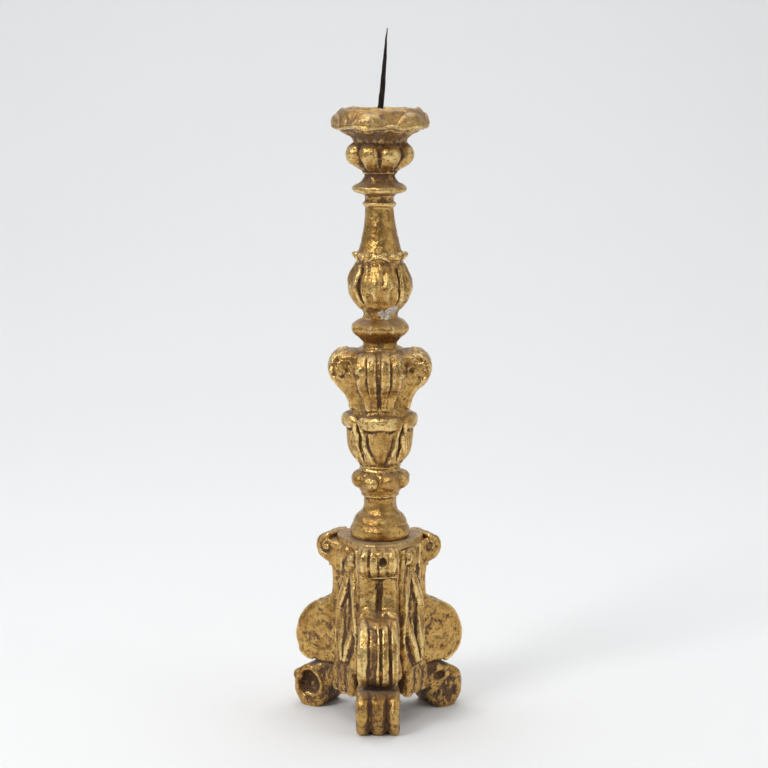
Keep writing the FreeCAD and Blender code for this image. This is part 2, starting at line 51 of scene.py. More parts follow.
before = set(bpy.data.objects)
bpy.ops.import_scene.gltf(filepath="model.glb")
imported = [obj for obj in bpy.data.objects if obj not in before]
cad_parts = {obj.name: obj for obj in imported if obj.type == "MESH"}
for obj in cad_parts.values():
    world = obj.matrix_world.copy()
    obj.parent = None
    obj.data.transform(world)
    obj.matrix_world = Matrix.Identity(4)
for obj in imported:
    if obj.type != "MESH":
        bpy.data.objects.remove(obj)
CAD_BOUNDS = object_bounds()

MM = 0.001
# the grid's step, the distance that stands for empty space, and the steps of outlines kept in tables
VOXEL = 0.55
FAR = 12.0
TURNED_STEP = 0.4
SIDE_STEP = 0.5
LEG_ANGLES = {"front": -90.0, "right": 30.0, "left": 150.0}
PANEL_ANGLES = {"front_left": 210.0, "front_right": -30.0, "back": 90.0}
QUARTERS = (-90.0, 0.0, 90.0, 180.0)
# how far the uneven tripod's pieces stand out from their places, and to the side
SET_OVER = {"leg_left": (2.5, 0), "foot_left": (3.5, 0), "leg_front": (0, -1.2), "foot_front": (0, -1.6)}
# pieces whose gilding has gone grey, and pieces that are browner than the rest, or brighter below zero
GREYED = {"drip_pan": 0.5, "base_top_board": 0.35, "leaf_capital": 0.12}
TARNISH = {"gadroon_knop": 0.14, "leaf_capital": -0.30, "lower_vase": -0.08, "stem_foot": -0.12}
TARNISH["drip_pan"] = 0.10
# chips down to the white ground: centre and size
CHIPS = [((1.6, -17.0, 329.6), 4.2), ((7.0, -16.0, 330.6), 5.2), ((12.0, -12.4, 332.0), 4.2)]
CHIPS += [((-41.0, 2.0, 24.0), 3.6), ((9.0, 14.5, 331.0), 3.6), ((-30.0, 21.0, 283.0), 3.2)]


def shoulders(node):
    """The lowest and highest point of a CAD node, in millimetres."""
    low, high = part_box(node)
    return low.z / MM, high.z / MM


# ---------------------------------------------------------------- noise, curves and tables


def corner_shares(f):
    """The eight corners of a grid cell, each with its share at places that are f of the way across."""
    for corner in np.ndindex(2, 2, 2):
        x, y, z = (f[:, n] if corner[n] else 1 - f[:, n] for n in range(3))
        yield corner, x * y * z


def sample(grid, places):
    """A grid's values at places given in grid steps."""
    p = np.clip(places, 0, np.array(grid.shape) - 1.001)
    i = p.astype(int)
    out = 0.0
    for (dx, dy, dz), share in corner_shares((p - i).astype(np.float32)):
        out = out + share * grid[i[:, 0] + dx, i[:, 1] + dy, i[:, 2] + dz]
    return out


class Lattice:
    """Smooth seeded noise in space, between -1 and 1, with the given grain in millimetres."""

    SIZE = 32

    def __init__(self, seed, grain):
        self.grain = grain
        self.values = np.random.default_rng(seed).uniform(-1, 1, (self.SIZE,) * 3).astype(np.float32)

    def __call__(self, points):
        p = points / self.grain + 1000.0
        base = np.floor(p).astype(int)
        f = ease(0, 1, (p - base).astype(np.float32))
        total = 0.0
        for corner, share in corner_shares(f):
            i, j, k = ((base[:, n] + corner[n]) % self.SIZE for n in range(3))
            total = total + share * self.values[i, j, k]
        return total


def smooth_curve(points, steps=6):
    """Points along a Catmull-Rom curve through rows of numbers, which are places with or without sizes."""
    p = np.array(points, float)
    ends = np.vstack([2 * p[0] - p[1], p, 2 * p[-1] - p[-2]])
    out = []
    for a, b, c, d in zip(ends, ends[1:], ends[2:], ends[3:]):
        for t in np.arange(steps) / steps:
            cubic = (3 * b - a - 3 * c + d) * t**3
            out.append(0.5 * (2 * b + (c - a) * t + (2 * a - 5 * b + 4 * c - d) * t**2 + cubic))
    return np.array(out + [p[-1]])


def ease(edge0, edge1, x):
    """0 on the side of the first edge, 1 on the side of the second, smooth between."""
    t = np.clip((x - edge0) / (edge1 - edge0), 0, 1)
    return t * t * (3 - 2 * t)


def soft_min(a, b, blend):
    if blend <= 0:
        return np.minimum(a, b)
    return np.minimum(a, b) - np.maximum(blend - np.abs(a - b), 0) ** 2 * (0.25 / blend)


def soft_max(a, b, blend):
    return -soft_min(-a, -b, blend)


def from_step(places, a, b):
    """How far along the step from a to b each place is nearest to it, and its squared distance there."""
    way = b[:3] - a[:3]
    x, y, z = (axis - start for axis, start in zip(places, a))
    t = np.clip((x * way[0] + y * way[1] + z * way[2]) / (float(way @ way) or 1e-9), 0, 1)
    return t, (x - t * way[0]) ** 2 + (y - t * way[1]) ** 2 + (z - t * way[2]) ** 2


class Sheet:
    """Signed distance from a closed outline, negative inside, kept in a table over two directions."""

    def __init__(self, outline, u_range, v_range, step):
        self.low = (u_range[0], v_range[0])
        self.step = step
        u, v = np.arange(*u_range, step)[:, None], np.arange(*v_range, step)[None, :]
        corners = np.array(outline, float)
        squared = np.full((u.size, v.size), 1e9)
        inside = np.zeros(squared.shape, bool)
        for (au, av), (bu, bv) in zip(corners, np.roll(corners, -1, axis=0)):
            eu, ev = bu - au, bv - av
            t = np.clip(((u - au) * eu + (v - av) * ev) / max(eu * eu + ev * ev, 1e-12), 0, 1)
            squared = np.minimum(squared, (u - au - t * eu) ** 2 + (v - av - t * ev) ** 2)
            if abs(ev) > 1e-9:
                inside ^= ((v >= av) != (v >= bv)) & (u < au + (v - av) * eu / ev)
        distance = np.sqrt(squared)
        self.table = np.where(inside, -distance, distance).astype(np.float32)

    def cell(self, axis, value):
        """The table's index at or below a value, and how far past that place the value lies."""
        at = np.clip((value - self.low[axis]) / self.step, 0, self.table.shape[axis] - 1.001)
        index = at.astype(int)
        return index, (at - index).astype(np.float32)

    def __call__(self, u, v):
        i, f = self.cell(0, u)
        j, g = self.cell(1, v)
        low = self.table[i, j] * (1 - f) + self.table[i + 1, j] * f
        high = self.table[i, j + 1] * (1 - f) + self.table[i + 1, j + 1] * f
        return low * (1 - g) + high * g


def turned_sheet(top, rows, reach, low, high):
    """The half outline of a turned piece, from rows of drop and radius, over radius and height."""
    wall = [(max(radius, 0.2), top - drop) for drop, radius in smooth_curve(rows, 5)]
    closed = [(-5.0, wall[0][1])] + wall + [(-5.0, wall[-1][1])]
    return Sheet(closed, (0.0, reach + 2.0), (low, high + TURNED_STEP), TURNED_STEP)


def side_sheet(rows, reach, low, high):
    """The side outline of a piece of the base, from rows of reach and height, over the same two."""
    return Sheet(smooth_curve(rows, 5), (-4.0, reach), (low, high), SIDE_STEP)


def polar(radius, degrees, z):
    a = math.radians(degrees)
    return (radius * math.cos(a), radius * math.sin(a), z)


# ---------------------------------------------------------------- the block of wood


class Carving:
    """A block on an even grid that holds the signed distance to the wood's surface, negative inside."""

    def __init__(self, low, high):
        self.low = np.array(low, float)
        counts = np.ceil((np.array(high, float) - self.low) / VOXEL).astype(int) + 1
        self.axes = [(self.low[n] + VOXEL * np.arange(counts[n])).astype(np.float32) for n in range(3)]
        self.field = np.full(counts, FAR, np.float32)

    def window(self, low, high):
        """The index ranges between two corners, and the x, y and z there as open grids."""
        first = np.clip(np.floor((low - self.low) / VOXEL), 0, self.field.shape).astype(int)
        last = np.clip(np.ceil((high - self.low) / VOXEL) + 1, 0, self.field.shape).astype(int)
        span = tuple(slice(a, b) for a, b in zip(first, last))
        axes = [axis[part] for axis, part in zip(self.axes, span)]
        return span, np.meshgrid(*axes, indexing="ij", sparse=True)

    def merge(self, span, distance, blend, cut):
        """Joins a shape to the wood within the index ranges, or takes the shape away when cut."""
        view = self.field[span]
        view[...] = soft_max(view, -distance, blend) if cut else soft_min(view, distance, blend)

    def add(self, form, blend=0.0, cut=False):
        """Adds or takes away a form, which is a function of x, y and z."""
        span, places = self.window(self.low, self.low + 1e6)
        self.merge(span, form(*places), blend, cut)

    def stroke(self, points, radii, blend=1.0, cut=False):
        """A round ridge, or a groove when cut, along a smooth curve, tapering with its radii."""
        rows = smooth_curve(np.column_stack([np.array(points, float), np.broadcast_to(radii, len(points))]))
        reach = rows[:, 3].max() + blend + 1.5 * VOXEL
        span, places = self.window(rows[:, :3].min(0) - reach, rows[:, :3].max(0) + reach)
        rod = FAR
        for a, b in zip(rows[:-1], rows[1:]):
            t, squared = from_step(places, a, b)
            rod = np.minimum(rod, np.sqrt(squared) - (a[3] + t * (b[3] - a[3])))
        self.merge(span, rod, blend, cut)

    def settle(self):
        """Keeps the form so far as the face on which bands are laid."""
        self.face = self.field.copy()

    def seat(self, points):
        """Points brought on to the kept face."""
        slope = np.zeros_like(points)
        for _ in range(3):
            at = (points - self.low) / VOXEL
            for n, step in enumerate(np.eye(3) * 1.5):
                slope[:, n] = sample(self.face, at + step) - sample(self.face, at - step)
            slope /= np.maximum(np.linalg.norm(slope, axis=1, keepdims=True), 1e-6)
            points = points - slope * sample(self.face, at)[:, None]
        return points

    def band(self, points, widths, reliefs, blend=0.8, cut=False):
        """A band that swells from the kept face, or a soft flute when cut, along a smooth curve."""
        columns = [np.array(points, float)] + [np.broadcast_to(v, len(points)) for v in (widths, reliefs)]
        rows = smooth_curve(np.column_stack(columns), 5)
        rows[:, :3] = self.seat(rows[:, :3])
        rows[:, 3] = np.maximum(rows[:, 3] / 2, 0.4)
        rows[:, 4] = np.maximum(rows[:, 4], 0.1)
        depth = rows[:, 4].max() + blend + 2 * VOXEL
        reach = 1.5 * rows[:, 3].max() + depth
        span, places = self.window(rows[:, :3].min(0) - reach, rows[:, :3].max(0) + reach)
        near = np.abs(self.face[span]) < depth
        level = self.face[span][near]
        places = [np.broadcast_to(axis, near.shape)[near] for axis in places]
        power = 2 if cut else 4
        swell = -FAR
        for a, b in zip(rows[:-1], rows[1:]):
            t, squared = from_step(places, a, b)
            aside = np.sqrt(np.maximum(squared - level * level, 0)) / (a[3] + t * (b[3] - a[3]))
            swell = np.maximum(swell, (a[4] + t * (b[4] - a[4])) * (1 - aside**power))
        view = self.field[span]
        if cut:
            view[near] = soft_max(view[near], level + swell, blend)
        else:
            view[near] = soft_min(view[near], level - swell, blend)

    def blob(self, centre, radii, blend=1.5, cut=False, turned=0.0):
        """An egg-shaped lump or hollow, turned about the vertical by some degrees."""
        c, s = math.cos(math.radians(turned)), math.sin(math.radians(turned))
        reach = max(radii) + blend + 1.0
        span, (x, y, z) = self.window(np.array(centre) - reach, np.array(centre) + reach)
        dx, dy = x - centre[0], y - centre[1]
        u, v, w = (dx * c + dy * s) / radii[0], (dy * c - dx * s) / radii[1], (z - centre[2]) / radii[2]
        self.merge(span, (np.sqrt(u * u + v * v + w * w) - 1) * min(radii), blend, cut)

    def blurred(self, radius):
        """The field averaged over a rounded window, by two box passes on each axis."""
        n = max(1, int(round(radius / VOXEL / 1.7)))
        out = np.clip(self.field, -9, 9)
        for axis in (0, 1, 2, 0, 1, 2):
            margins = [(n + 1, n) if k == axis else (0, 0) for k in range(3)]
            total = np.cumsum(np.pad(out, margins, mode="edge"), axis, dtype=np.float64)
            count = out.shape[axis]
            upper = total.take(range(2 * n + 1, 2 * n + 1 + count), axis)
            lower = total.take(range(count), axis)
            out = ((upper - lower) / (2 * n + 1)).astype(np.float32)
        return out

    def surface(self):
        """Points in millimetres, four-sided faces, normals, and how proud each point is at three scales."""
        grid = openvdb.FloatGrid()
        grid.copyFromArray(np.pad(self.field, 1, constant_values=VOXEL))
        points, quads = grid.convertToQuads(isovalue=0.0)
        points = np.array(points, np.float64) - 1.0
        steps = np.eye(3) * 0.6
        slopes = [sample(self.field, points + step) - sample(self.field, points - step) for step in steps]
        normal = np.column_stack(slopes)
        normal /= np.maximum(np.linalg.norm(normal, axis=1, keepdims=True), 1e-6)
        here = sample(np.clip(self.field, -9, 9), points)
        relief = [sample(self.blurred(reach), points) - here for reach in (1.2, 3.2, 7.0)]
        return points * VOXEL + self.low, np.array(quads), normal, relief


class Turned(Carving):
    """A turned block, from rows of drop and radius from the bottom up."""

    def __init__(self, node, rows, reach, count=0, phase=-90.0, creases=None, wave=0.0):
        """Count lobes run round it, one with its crest at phase degrees. Creases holds the drops where the
        creases between them begin, are full, begin to fade and end, and their depth. Wave lifts them."""
        self.top = top = shoulders(node)[1]
        self.drops, self.radii = zip(*sorted(rows))
        low, high = top - self.drops[-1] - 3, top - self.drops[0] + 3
        super().__init__((-reach, -reach, low), (reach, reach, high))
        profile = turned_sheet(top, rows, reach * 1.5, low - 4, high + 4)

        def form(x, y, z):
            radius = np.sqrt(x * x + y * y)
            if not count:
                return profile(radius, z)
            begin, full, fade, end, depth = creases
            depth = depth * ease(top - begin, top - full, z) * (1 - ease(top - fade, top - end, z))
            crease = 1 - np.abs(np.cos(count * (np.arctan2(y, x) - math.radians(phase)) / 2))
            crease = crease * ease(10.0, 24.0, radius)
            return profile(radius + crease * depth, z - wave * crease)

        self.add(form)
        self.settle()

    def at(self, radius, degrees, drop):
        return polar(radius, degrees, self.top - drop)

    def ring(self, about, places, widths, reliefs, blend=0.8, cut=False):
        """A band through places that are degrees past a direction round the stem, and drops."""
        radii = [np.interp(drop, self.drops, self.radii) for _, drop in places]
        points = [self.at(radius, about + degrees, drop) for radius, (degrees, drop) in zip(radii, places)]
        self.band(points, widths, reliefs, blend, cut)

    def rod(self, about, places, radii, blend, cut=False):
        """A stroke through places that are radii, degrees past a direction round the stem, and drops."""
        points = [self.at(radius, about + degrees, drop) for radius, degrees, drop in places]
        self.stroke(points, radii, blend, cut)


# ---------------------------------------------------------------- pieces of the stem


def carve_pan():
    """The drip pan: a sloping wall with broad worn leaves, a crisp wavy lip and a shallow dish in its top."""
    rows = [(26.8, 20.6), (25.4, 21.4), (23.6, 22.2), (21.4, 24.4), (19.2, 28.4), (17.4, 32.4), (15.8, 36.0)]
    rows += [(14.4, 38.2), (12.8, 38.8), (11.0, 38.2), (8.0, 36.5), (4.0, 34.0), (1.4, 32.0), (0.3, 30.9)]
    rows += [(0.0, 29.6), (0.8, 27.6), (3.0, 26.2), (5.2, 24.6), (6.1, 21.5), (6.3, 15.0), (6.3, 0.2)]
    block = Turned("drip_pan", rows, 42.0, 8, -112.0, (20.5, 15.5, 10.0, 3.0, 1.5), wave=1.0)
    # the bands lie on the outer wall, not in the dish
    block.drops, block.radii = (0.0, 14.0, 26.8), (31.0, 38.4, 20.6)
    rng = np.random.default_rng(5)
    lip = []
    for k in range(25):
        drop = 13.9 + 0.9 * math.cos(math.radians(120 * k + 64)) + rng.uniform(-0.3, 0.3)
        lip.append((15.0 * k, drop))
    lip[-1] = (360.0, lip[0][1])
    block.ring(0.0, lip, 2.8, 0.9, 0.5)
    block.ring(0.0, [(degrees, drop + 3.4) for degrees, drop in lip], 3.6, 1.2, 0.8, True)
    for i in range(6):
        middle = -107.0 + 60.0 * i + rng.uniform(-4, 4)
        drop = 8.6 + rng.uniform(-0.8, 0.8)
        leaf = [(-21, drop + 3.4), (-12, drop + 0.8), (-2, drop - 0.8), (9, drop), (19, drop + 3.0)]
        block.ring(middle, leaf, [3.0, 8.0, 10.0, 8.0, 3.4], [0.5, 1.6, 2.0, 1.6, 0.6], 0.5)
        dent = middle + 30 + rng.uniform(-4, 4)
        block.blob(block.at(32.0, dent, -0.5), (2.0, 4.0, 0.9), 1.2, True, dent)
    for i in range(14):
        angle = 360.0 / 14 * i + rng.uniform(-5, 5)
        block.ring(angle, [(0, 25.5), (2, 18.6)], [3.0, 4.6], [0.7, 0.9], 1.0, True)
    return block


def carve_knop():
    """The gadrooned knop over its fillet, cove and flared ring."""
    rows = [(43.9, 11.4), (42.4, 12.4), (41.6, 13.4), (40.6, 16.4), (39.6, 19.6), (38.4, 21.1), (36.8, 21.5)]
    rows += [(35.2, 20.9), (33.8, 18.8), (32.4, 15.8), (30.4, 13.9), (28.2, 12.6), (26.4, 12.2), (25.4, 13.3)]
    rows += [(24.2, 13.8), (23.0, 13.4), (22.4, 14.6), (20.6, 17.0), (18.4, 20.6), (15.6, 24.2), (12.6, 26.4)]
    rows += [(9.4, 27.2), (6.4, 26.4), (4.4, 24.6), (2.8, 22.2), (1.4, 21.0), (0.0, 21.0), (-1.5, 20.4)]
    block = Turned("gadroon_knop", rows, 31.0, 8, -67.5, (23.0, 15.0, 6.0, 1.6, 4.2))
    rng = np.random.default_rng(7)
    for i in range(8):
        crest = -67.5 + 45.0 * i + rng.uniform(-1.5, 1.5)
        rise = [(0, drop) for drop in (20.6, 14.0, 9.0, 4.2)]
        block.ring(crest, rise, [11.0, 18.0, 19.5, 14.0], [0.6, 1.2, 1.3, 1.2], 0.6)
        crease = [(16.5, 0, 20.5), (23.0, 0, 14.0), (24.4, 0, 9.0), (22.4, 0, 4.4)]
        block.rod(-90.0 + 45.0 * i, crease, [0.7, 1.1, 1.1, 0.6], 0.9, True)
    return block


def carve_baluster():
    """The tapered column over a bulb of four broad leaves, with the leaves' tips turned out in a ring."""
    rows = [(99.5, 13.8), (98.0, 14.3), (96.0, 13.7), (93.6, 13.6), (91.0, 14.8), (88.8, 16.6), (86.4, 19.0)]
    rows += [(82.0, 22.2), (77.0, 24.2), (72.0, 24.9), (67.0, 24.4), (62.6, 22.8), (58.0, 20.3), (54.4, 18.8)]
    rows += [(51.4, 18.6), (48.8, 19.4), (46.6, 19.6), (44.6, 18.4), (43.0, 17.2), (40.0, 16.2), (36.0, 15.0)]
    rows += [(31.0, 13.9), (26.0, 13.0), (20.0, 12.1), (14.0, 11.4), (9.6, 11.0), (8.6, 11.9), (7.0, 13.2)]
    rows += [(5.6, 13.2), (4.4, 11.9), (2.6, 11.5), (0.0, 12.0), (-1.5, 11.6)]
    block = Turned("upper_baluster", rows, 28.5, 4, -90.0, (92.0, 83.0, 60.0, 53.0, 2.6))
    rng = np.random.default_rng(11)
    for leaf in QUARTERS:
        for side in (-1, 1):
            lean = rng.uniform(-2, 2)
            facet = [(side * 10 + lean, 88), (side * 16 + lean, 78), (side * 16, 68), (side * 12 - lean, 57)]
            block.ring(leaf, facet, [6.0, 11.0, 12.0, 8.0], [0.6, 1.4, 1.5, 0.9], 0.4)
            rim = [(side * 31, 87), (side * 35, 76), (side * 34, 66), (side * 31, 56)]
            block.ring(leaf, rim, [4.0, 7.0, 7.0, 4.0], [0.6, 1.3, 1.3, 0.8], 0.6)
        gap = [(45, 88), (45, 78), (44, 67), (45, 57)]
        block.ring(leaf, gap, [2.4, 4.6, 4.2, 2.4], [1.2, 3.0, 2.6, 1.2], 0.8, True)
        block.ring(leaf, [(1, 55), (0, 62), (-1, 72)], [4.0, 4.0, 2.0], [1.4, 2.0, 1.2], 0.6)
        for _ in range(3):
            degrees, drop = rng.uniform(-30, 30), rng.uniform(60, 84)
            ends = [(degrees, drop), (degrees + rng.uniform(-4, 4), drop + rng.uniform(4, 8))]
            block.ring(leaf, ends, rng.uniform(3.0, 5.0), rng.uniform(0.4, 0.8), 0.9, True)
        curl = [(18.4, -26, 50.4), (20.2, -15, 47.6), (20.4, 0, 46.4), (20.0, 13, 48.2), (18.4, 24, 50.6)]
        block.rod(leaf, curl, [0.9, 1.4, 2.0, 1.5, 0.9], 0.8)
        block.blob(block.at(19.4, leaf + 44, 48.0), (1.9, 3.2, 2.2), 1.2, False, leaf + 44)
        block.rod(leaf, [(21.2, -24, 51.6), (21.8, 0, 50.6), (21.2, 24, 51.6)], [0.8, 1.1, 0.8], 0.8, True)
        for offset in (-34, -12, 12, 33):
            bud = leaf + offset + rng.uniform(-3, 3)
            size = rng.uniform(1.3, 1.9)
            place = block.at(19.6, bud, 45.6 - rng.uniform(-1, 1))
            block.blob(place, (size, size * 1.5, size), 1.0, False, bud)
    return block


def carve_capital():
    """Four rolled acanthus leaves under a neck and a flat-sided collar."""
    top = shoulders("leaf_capital")[1]
    low = top - 72.0
    rows = [(73.5, 21.8), (72.0, 22.4), (66.0, 21.8), (56.0, 20.4), (44.0, 18.2), (34.0, 16.6), (27.0, 16.2)]
    rows += [(24.6, 15.6), (22.6, 14.0), (20.4, 13.6), (18.2, 14.0), (16.6, 15.4), (14.6, 17.2), (12.4, 20.2)]
    rows += [(10.0, 22.4), (7.8, 23.3), (5.4, 22.9), (3.4, 20.8), (1.6, 18.0), (0.5, 16.0), (-0.2, 14.8)]
    rows += [(-1.6, 14.0)]
    block = Carving((-43.0, -43.0, low - 2), (43.0, 43.0, top + 2))
    profile = turned_sheet(top, rows, 66.0, low - 6, top + 6)
    # a leaf's side in reach and drop: up the core, out, and over in a roll about its middle
    side = [(23.6, 71.4), (24.2, 65.0), (26.4, 59.4), (30.0, 54.2), (34.2, 50.4), (37.6, 46.4), (39.6, 41.4)]
    side += [(39.8, 36.6), (38.0, 31.6), (34.4, 27.6), (29.6, 25.2), (24.4, 24.2), (19.0, 24.6), (15.0, 27.0)]
    side = list(smooth_curve([(r, top - drop) for r, drop in side], 5))
    side = Sheet(side + [(10.0, top - 30.0), (10.0, top - 71.4)], (0.0, 64.0), (low - 4, top), SIDE_STEP)
    roll_reach, roll_drop = 31.4, 37.4

    def core(x, y, z):
        radius = np.sqrt(x * x + y * y)
        angle = np.mod(np.arctan2(y, x) - math.radians(-87.0) + math.pi / 8, math.pi / 4) - math.pi / 8
        share = ease(top - 19.0, top - 15.0, z)
        return profile(radius * (1 - share) + radius * 1.03 * np.cos(angle) * share, z)

    def leaf_towards(degrees):
        """A leaf's form, and the function from reach, place across and drop to a place on that leaf."""
        c, s = math.cos(math.radians(degrees)), math.sin(math.radians(degrees))

        def form(x, y, z):
            t = y * c - x * s
            rise = (z - low) / 48.0
            half = 11.6 + 7.0 * ease(0.05, 0.6, rise) - 3.0 * ease(0.88, 1.04, rise)
            crown = 0.006 * t * t * ease(0.3, 0.7, rise)
            return soft_max(side(x * c + y * s, z) + crown, np.abs(t) - half, 4.0)

        return form, lambda r, t, drop: (r * c - t * s, r * s + t * c, top - drop)

    block.add(core)
    leaves = [leaf_towards(degrees) for degrees in QUARTERS]
    for form, _ in leaves:
        block.add(form, 2.5)
    block.settle()
    path = [(24.2, 69.0), (25.8, 61.0), (29.8, 54.6), (35.8, 48.4), (39.0, 41.6), (38.4, 34.0), (34.4, 28.4)]
    path += [(28.0, 25.2)]
    spread = (0.62, 0.74, 0.86, 0.96, 1.0, 1.0, 0.98, 0.92)
    taper = np.array([0.6, 0.8, 0.95, 1.0, 1.0, 1.0, 0.95, 0.7])

    def vein(at, t, sway, width, relief, blend, cut=False):
        """A band down a leaf's face and over its roll, that keeps its share of the leaf's width."""
        points = [at(r, t * wide + sway, drop) for (r, drop), wide in zip(path, spread)]
        block.band(points, width * taper, relief * taper, blend, cut)

    rng = np.random.default_rng(23)
    for _, at in leaves:
        channel = rng.uniform(-2.0, -0.8)
        vein(at, channel, 0.0, 6.0, 1.3, 0.8, True)
        for cheek in (-1, 1):
            sway = rng.uniform(-0.5, 0.5)
            vein(at, channel + cheek * 6.0, sway, 8.0, 1.8, 0.7)
            vein(at, channel + cheek * 10.2, sway, 1.4, 0.9, 0.6, True)
            vein(at, channel + cheek * 14.8, sway, 9.0, 1.5, 0.8)
            rim = [(38.6, 11.4, 41.0), (36.4, 12.4, 31.0), (31.6, 11.0, 26.6), (34.0, 7.6, 28.4)]
            rim = [at(r, cheek * t, drop) for r, t, drop in rim]
            block.band(rim, [2.0, 3.0, 3.2, 2.0], [0.8, 1.8, 2.0, 1.0], 0.6)
            # ragged cuts and lumps on the rolled head's cheek
            for k in range(6):
                start = math.radians(60 * k + rng.uniform(-20, 20))
                end = start + math.radians(rng.uniform(20, 50))
                reach, back = rng.uniform(6.0, 8.6), rng.uniform(3.0, 6.0)
                nick = []
                for radius, angle in ((back, start), (reach, (start + end) / 2), (reach - 1.0, end)):
                    r, drop = roll_reach + radius * math.cos(angle), roll_drop - radius * math.sin(angle)
                    nick.append(at(r, cheek * 18.0, drop))
                widths, reliefs = [2.4, rng.uniform(3.0, 4.4), 2.4], [0.9, rng.uniform(1.4, 2.4), 0.8]
                block.band(nick, widths, reliefs, 0.9, True)
            for k in range(7):
                angle = math.radians(rng.uniform(-100, 200))
                size = rng.uniform(1.6, 2.6)
                r, drop = roll_reach + 7.6 * math.cos(angle), roll_drop - 8.0 * math.sin(angle)
                block.blob(at(r, cheek * rng.uniform(13.0, 17.4), drop), (size, size, size), 1.6)
    return block


def carve_vase():
    """The cup of four leaves: a folded lip, ribs that run in to the foot, and a raised middle."""
    rows = [(50.6, 14.4), (49.0, 15.2), (47.6, 15.8), (46.4, 17.2), (45.2, 16.6), (43.4, 17.6), (40.4, 19.8)]
    rows += [(35.6, 22.7), (30.6, 24.5), (25.6, 25.2), (20.6, 25.6), (16.0, 26.2), (12.0, 27.0), (8.6, 27.6)]
    rows += [(5.4, 27.0), (3.2, 25.4), (1.6, 23.8), (0.0, 23.0), (-1.6, 22.4)]
    block = Turned("lower_vase", rows, 35.0, 4, -90.0, (44.0, 34.0, 6.0, 1.0, 3.0))
    rng = np.random.default_rng(37)
    for leaf in QUARTERS:
        lip = [(-42, 10.6), (-33, 9.4), (-17, 9.2), (0, 9.4), (17, 9.2), (33, 9.4), (42, 10.6)]
        lip = [(degrees, drop - rng.uniform(-0.4, 0.4)) for degrees, drop in lip]
        widths, reliefs = [6.0, 11.0, 12.4, 12.8, 12.4, 11.0, 6.0], [1.0, 2.6, 3.2, 3.4, 3.2, 2.6, 1.0]
        block.ring(leaf, lip, widths, reliefs, 0.5)
        block.ring(leaf, [(-30, 16.0), (0, 16.6), (30, 16.0)], [1.6, 2.4, 1.6], [0.8, 1.4, 0.8], 0.5, True)
        for k in range(5):
            angle = leaf - 28 + 13 * k + rng.uniform(-4, 4)
            drop = 8.0 + rng.uniform(-0.6, 1.2)
            nick = [(31.0, -4, drop), (32.0, 0, drop + 1.4), (31.0, 5, drop + 0.4)]
            block.rod(angle, nick, [0.5, 0.9, 0.5], 0.8, True)
        for side in (-1, 1):
            ear = [(side * 40, 8.0), (side * 38, 14.0), (side * 35, 21.0)]
            block.ring(leaf, ear, [3.0, 4.4, 2.6], [1.4, 2.4, 1.0])
            gap = [(side * 46, 12.0), (side * 46, 22.0), (side * 45, 33.0), (side * 45, 41.0)]
            block.ring(leaf, gap, [2.6, 4.4, 4.0, 2.0], [1.4, 2.8, 2.4, 1.0], 0.8, True)
            rib = [(side * 36, 19.0), (side * 33, 26.0), (side * 28, 34.0), (side * 22, 42.5)]
            block.ring(leaf, rib, [5.0, 6.6, 6.0, 4.0], [0.8, 1.5, 1.4, 0.9], 0.6)
            flute = [(side * 27, 19.0), (side * 24, 27.0), (side * 18, 35.0), (side * 11, 42.5)]
            block.ring(leaf, flute, [2.0, 2.6, 2.4, 1.6], [0.8, 1.3, 1.2, 0.8], 0.7, True)
        panel = [(0, drop) for drop in (20.0, 28.0, 36.0, 42.5)]
        block.ring(leaf + rng.uniform(-2, 2), panel, [15.0, 13.0, 9.0, 6.0], [1.0, 1.3, 1.3, 0.9], 0.6)
    return block


def carve_stem_foot():
    """The bell foot under a ring of eight beads."""
    rows = [(57.6, 22.0), (56.0, 22.8), (54.8, 23.8), (52.0, 24.3), (48.6, 24.0), (46.2, 22.6), (44.8, 21.6)]
    rows += [(43.4, 21.7), (41.4, 21.0), (39.6, 20.0), (37.8, 18.4), (35.8, 16.0), (33.6, 14.4), (31.0, 13.5)]
    rows += [(27.0, 13.2), (23.6, 13.4), (22.2, 14.6), (21.4, 15.6), (20.2, 15.2), (18.4, 16.2), (14.0, 18.4)]
    rows += [(8.0, 19.0), (4.0, 17.8), (2.2, 16.2), (1.0, 16.8), (0.0, 16.4), (-1.6, 15.6)]
    block = Turned("stem_foot", rows, 27.5)
    rng = np.random.default_rng(41)
    for i in range(8):
        angle = -67.5 + 45.0 * i + rng.uniform(-3.5, 3.5)
        size = 6.9 + rng.uniform(-0.7, 0.5)
        bead = block.at(17.6 + rng.uniform(-0.5, 0.3), angle, 9.2 - rng.uniform(-0.7, 0.7))
        block.blob(bead, (size, size + 0.9, size - 0.2), 1.2, False, angle)
        block.rod(angle + 22.5, [(22.4, 0, 15.0), (22.6, 0, 4.0)], 1.0, 1.0, True)
    return block


# ---------------------------------------------------------------- pieces of the base


def spiral(centre, start_r, end_r, start_degrees, turns, count, t, sense=-1):
    """Points of a scroll's spiral on a piece's cheek, as reach, place across and height."""
    points = []
    for share in np.linspace(0, 1, count):
        a = math.radians(start_degrees + sense * 360 * turns * share)
        r = start_r + (end_r - start_r) * share**0.8
        points.append((centre[0] + r * math.cos(a), t, centre[1] + r * math.sin(a)))
    return points


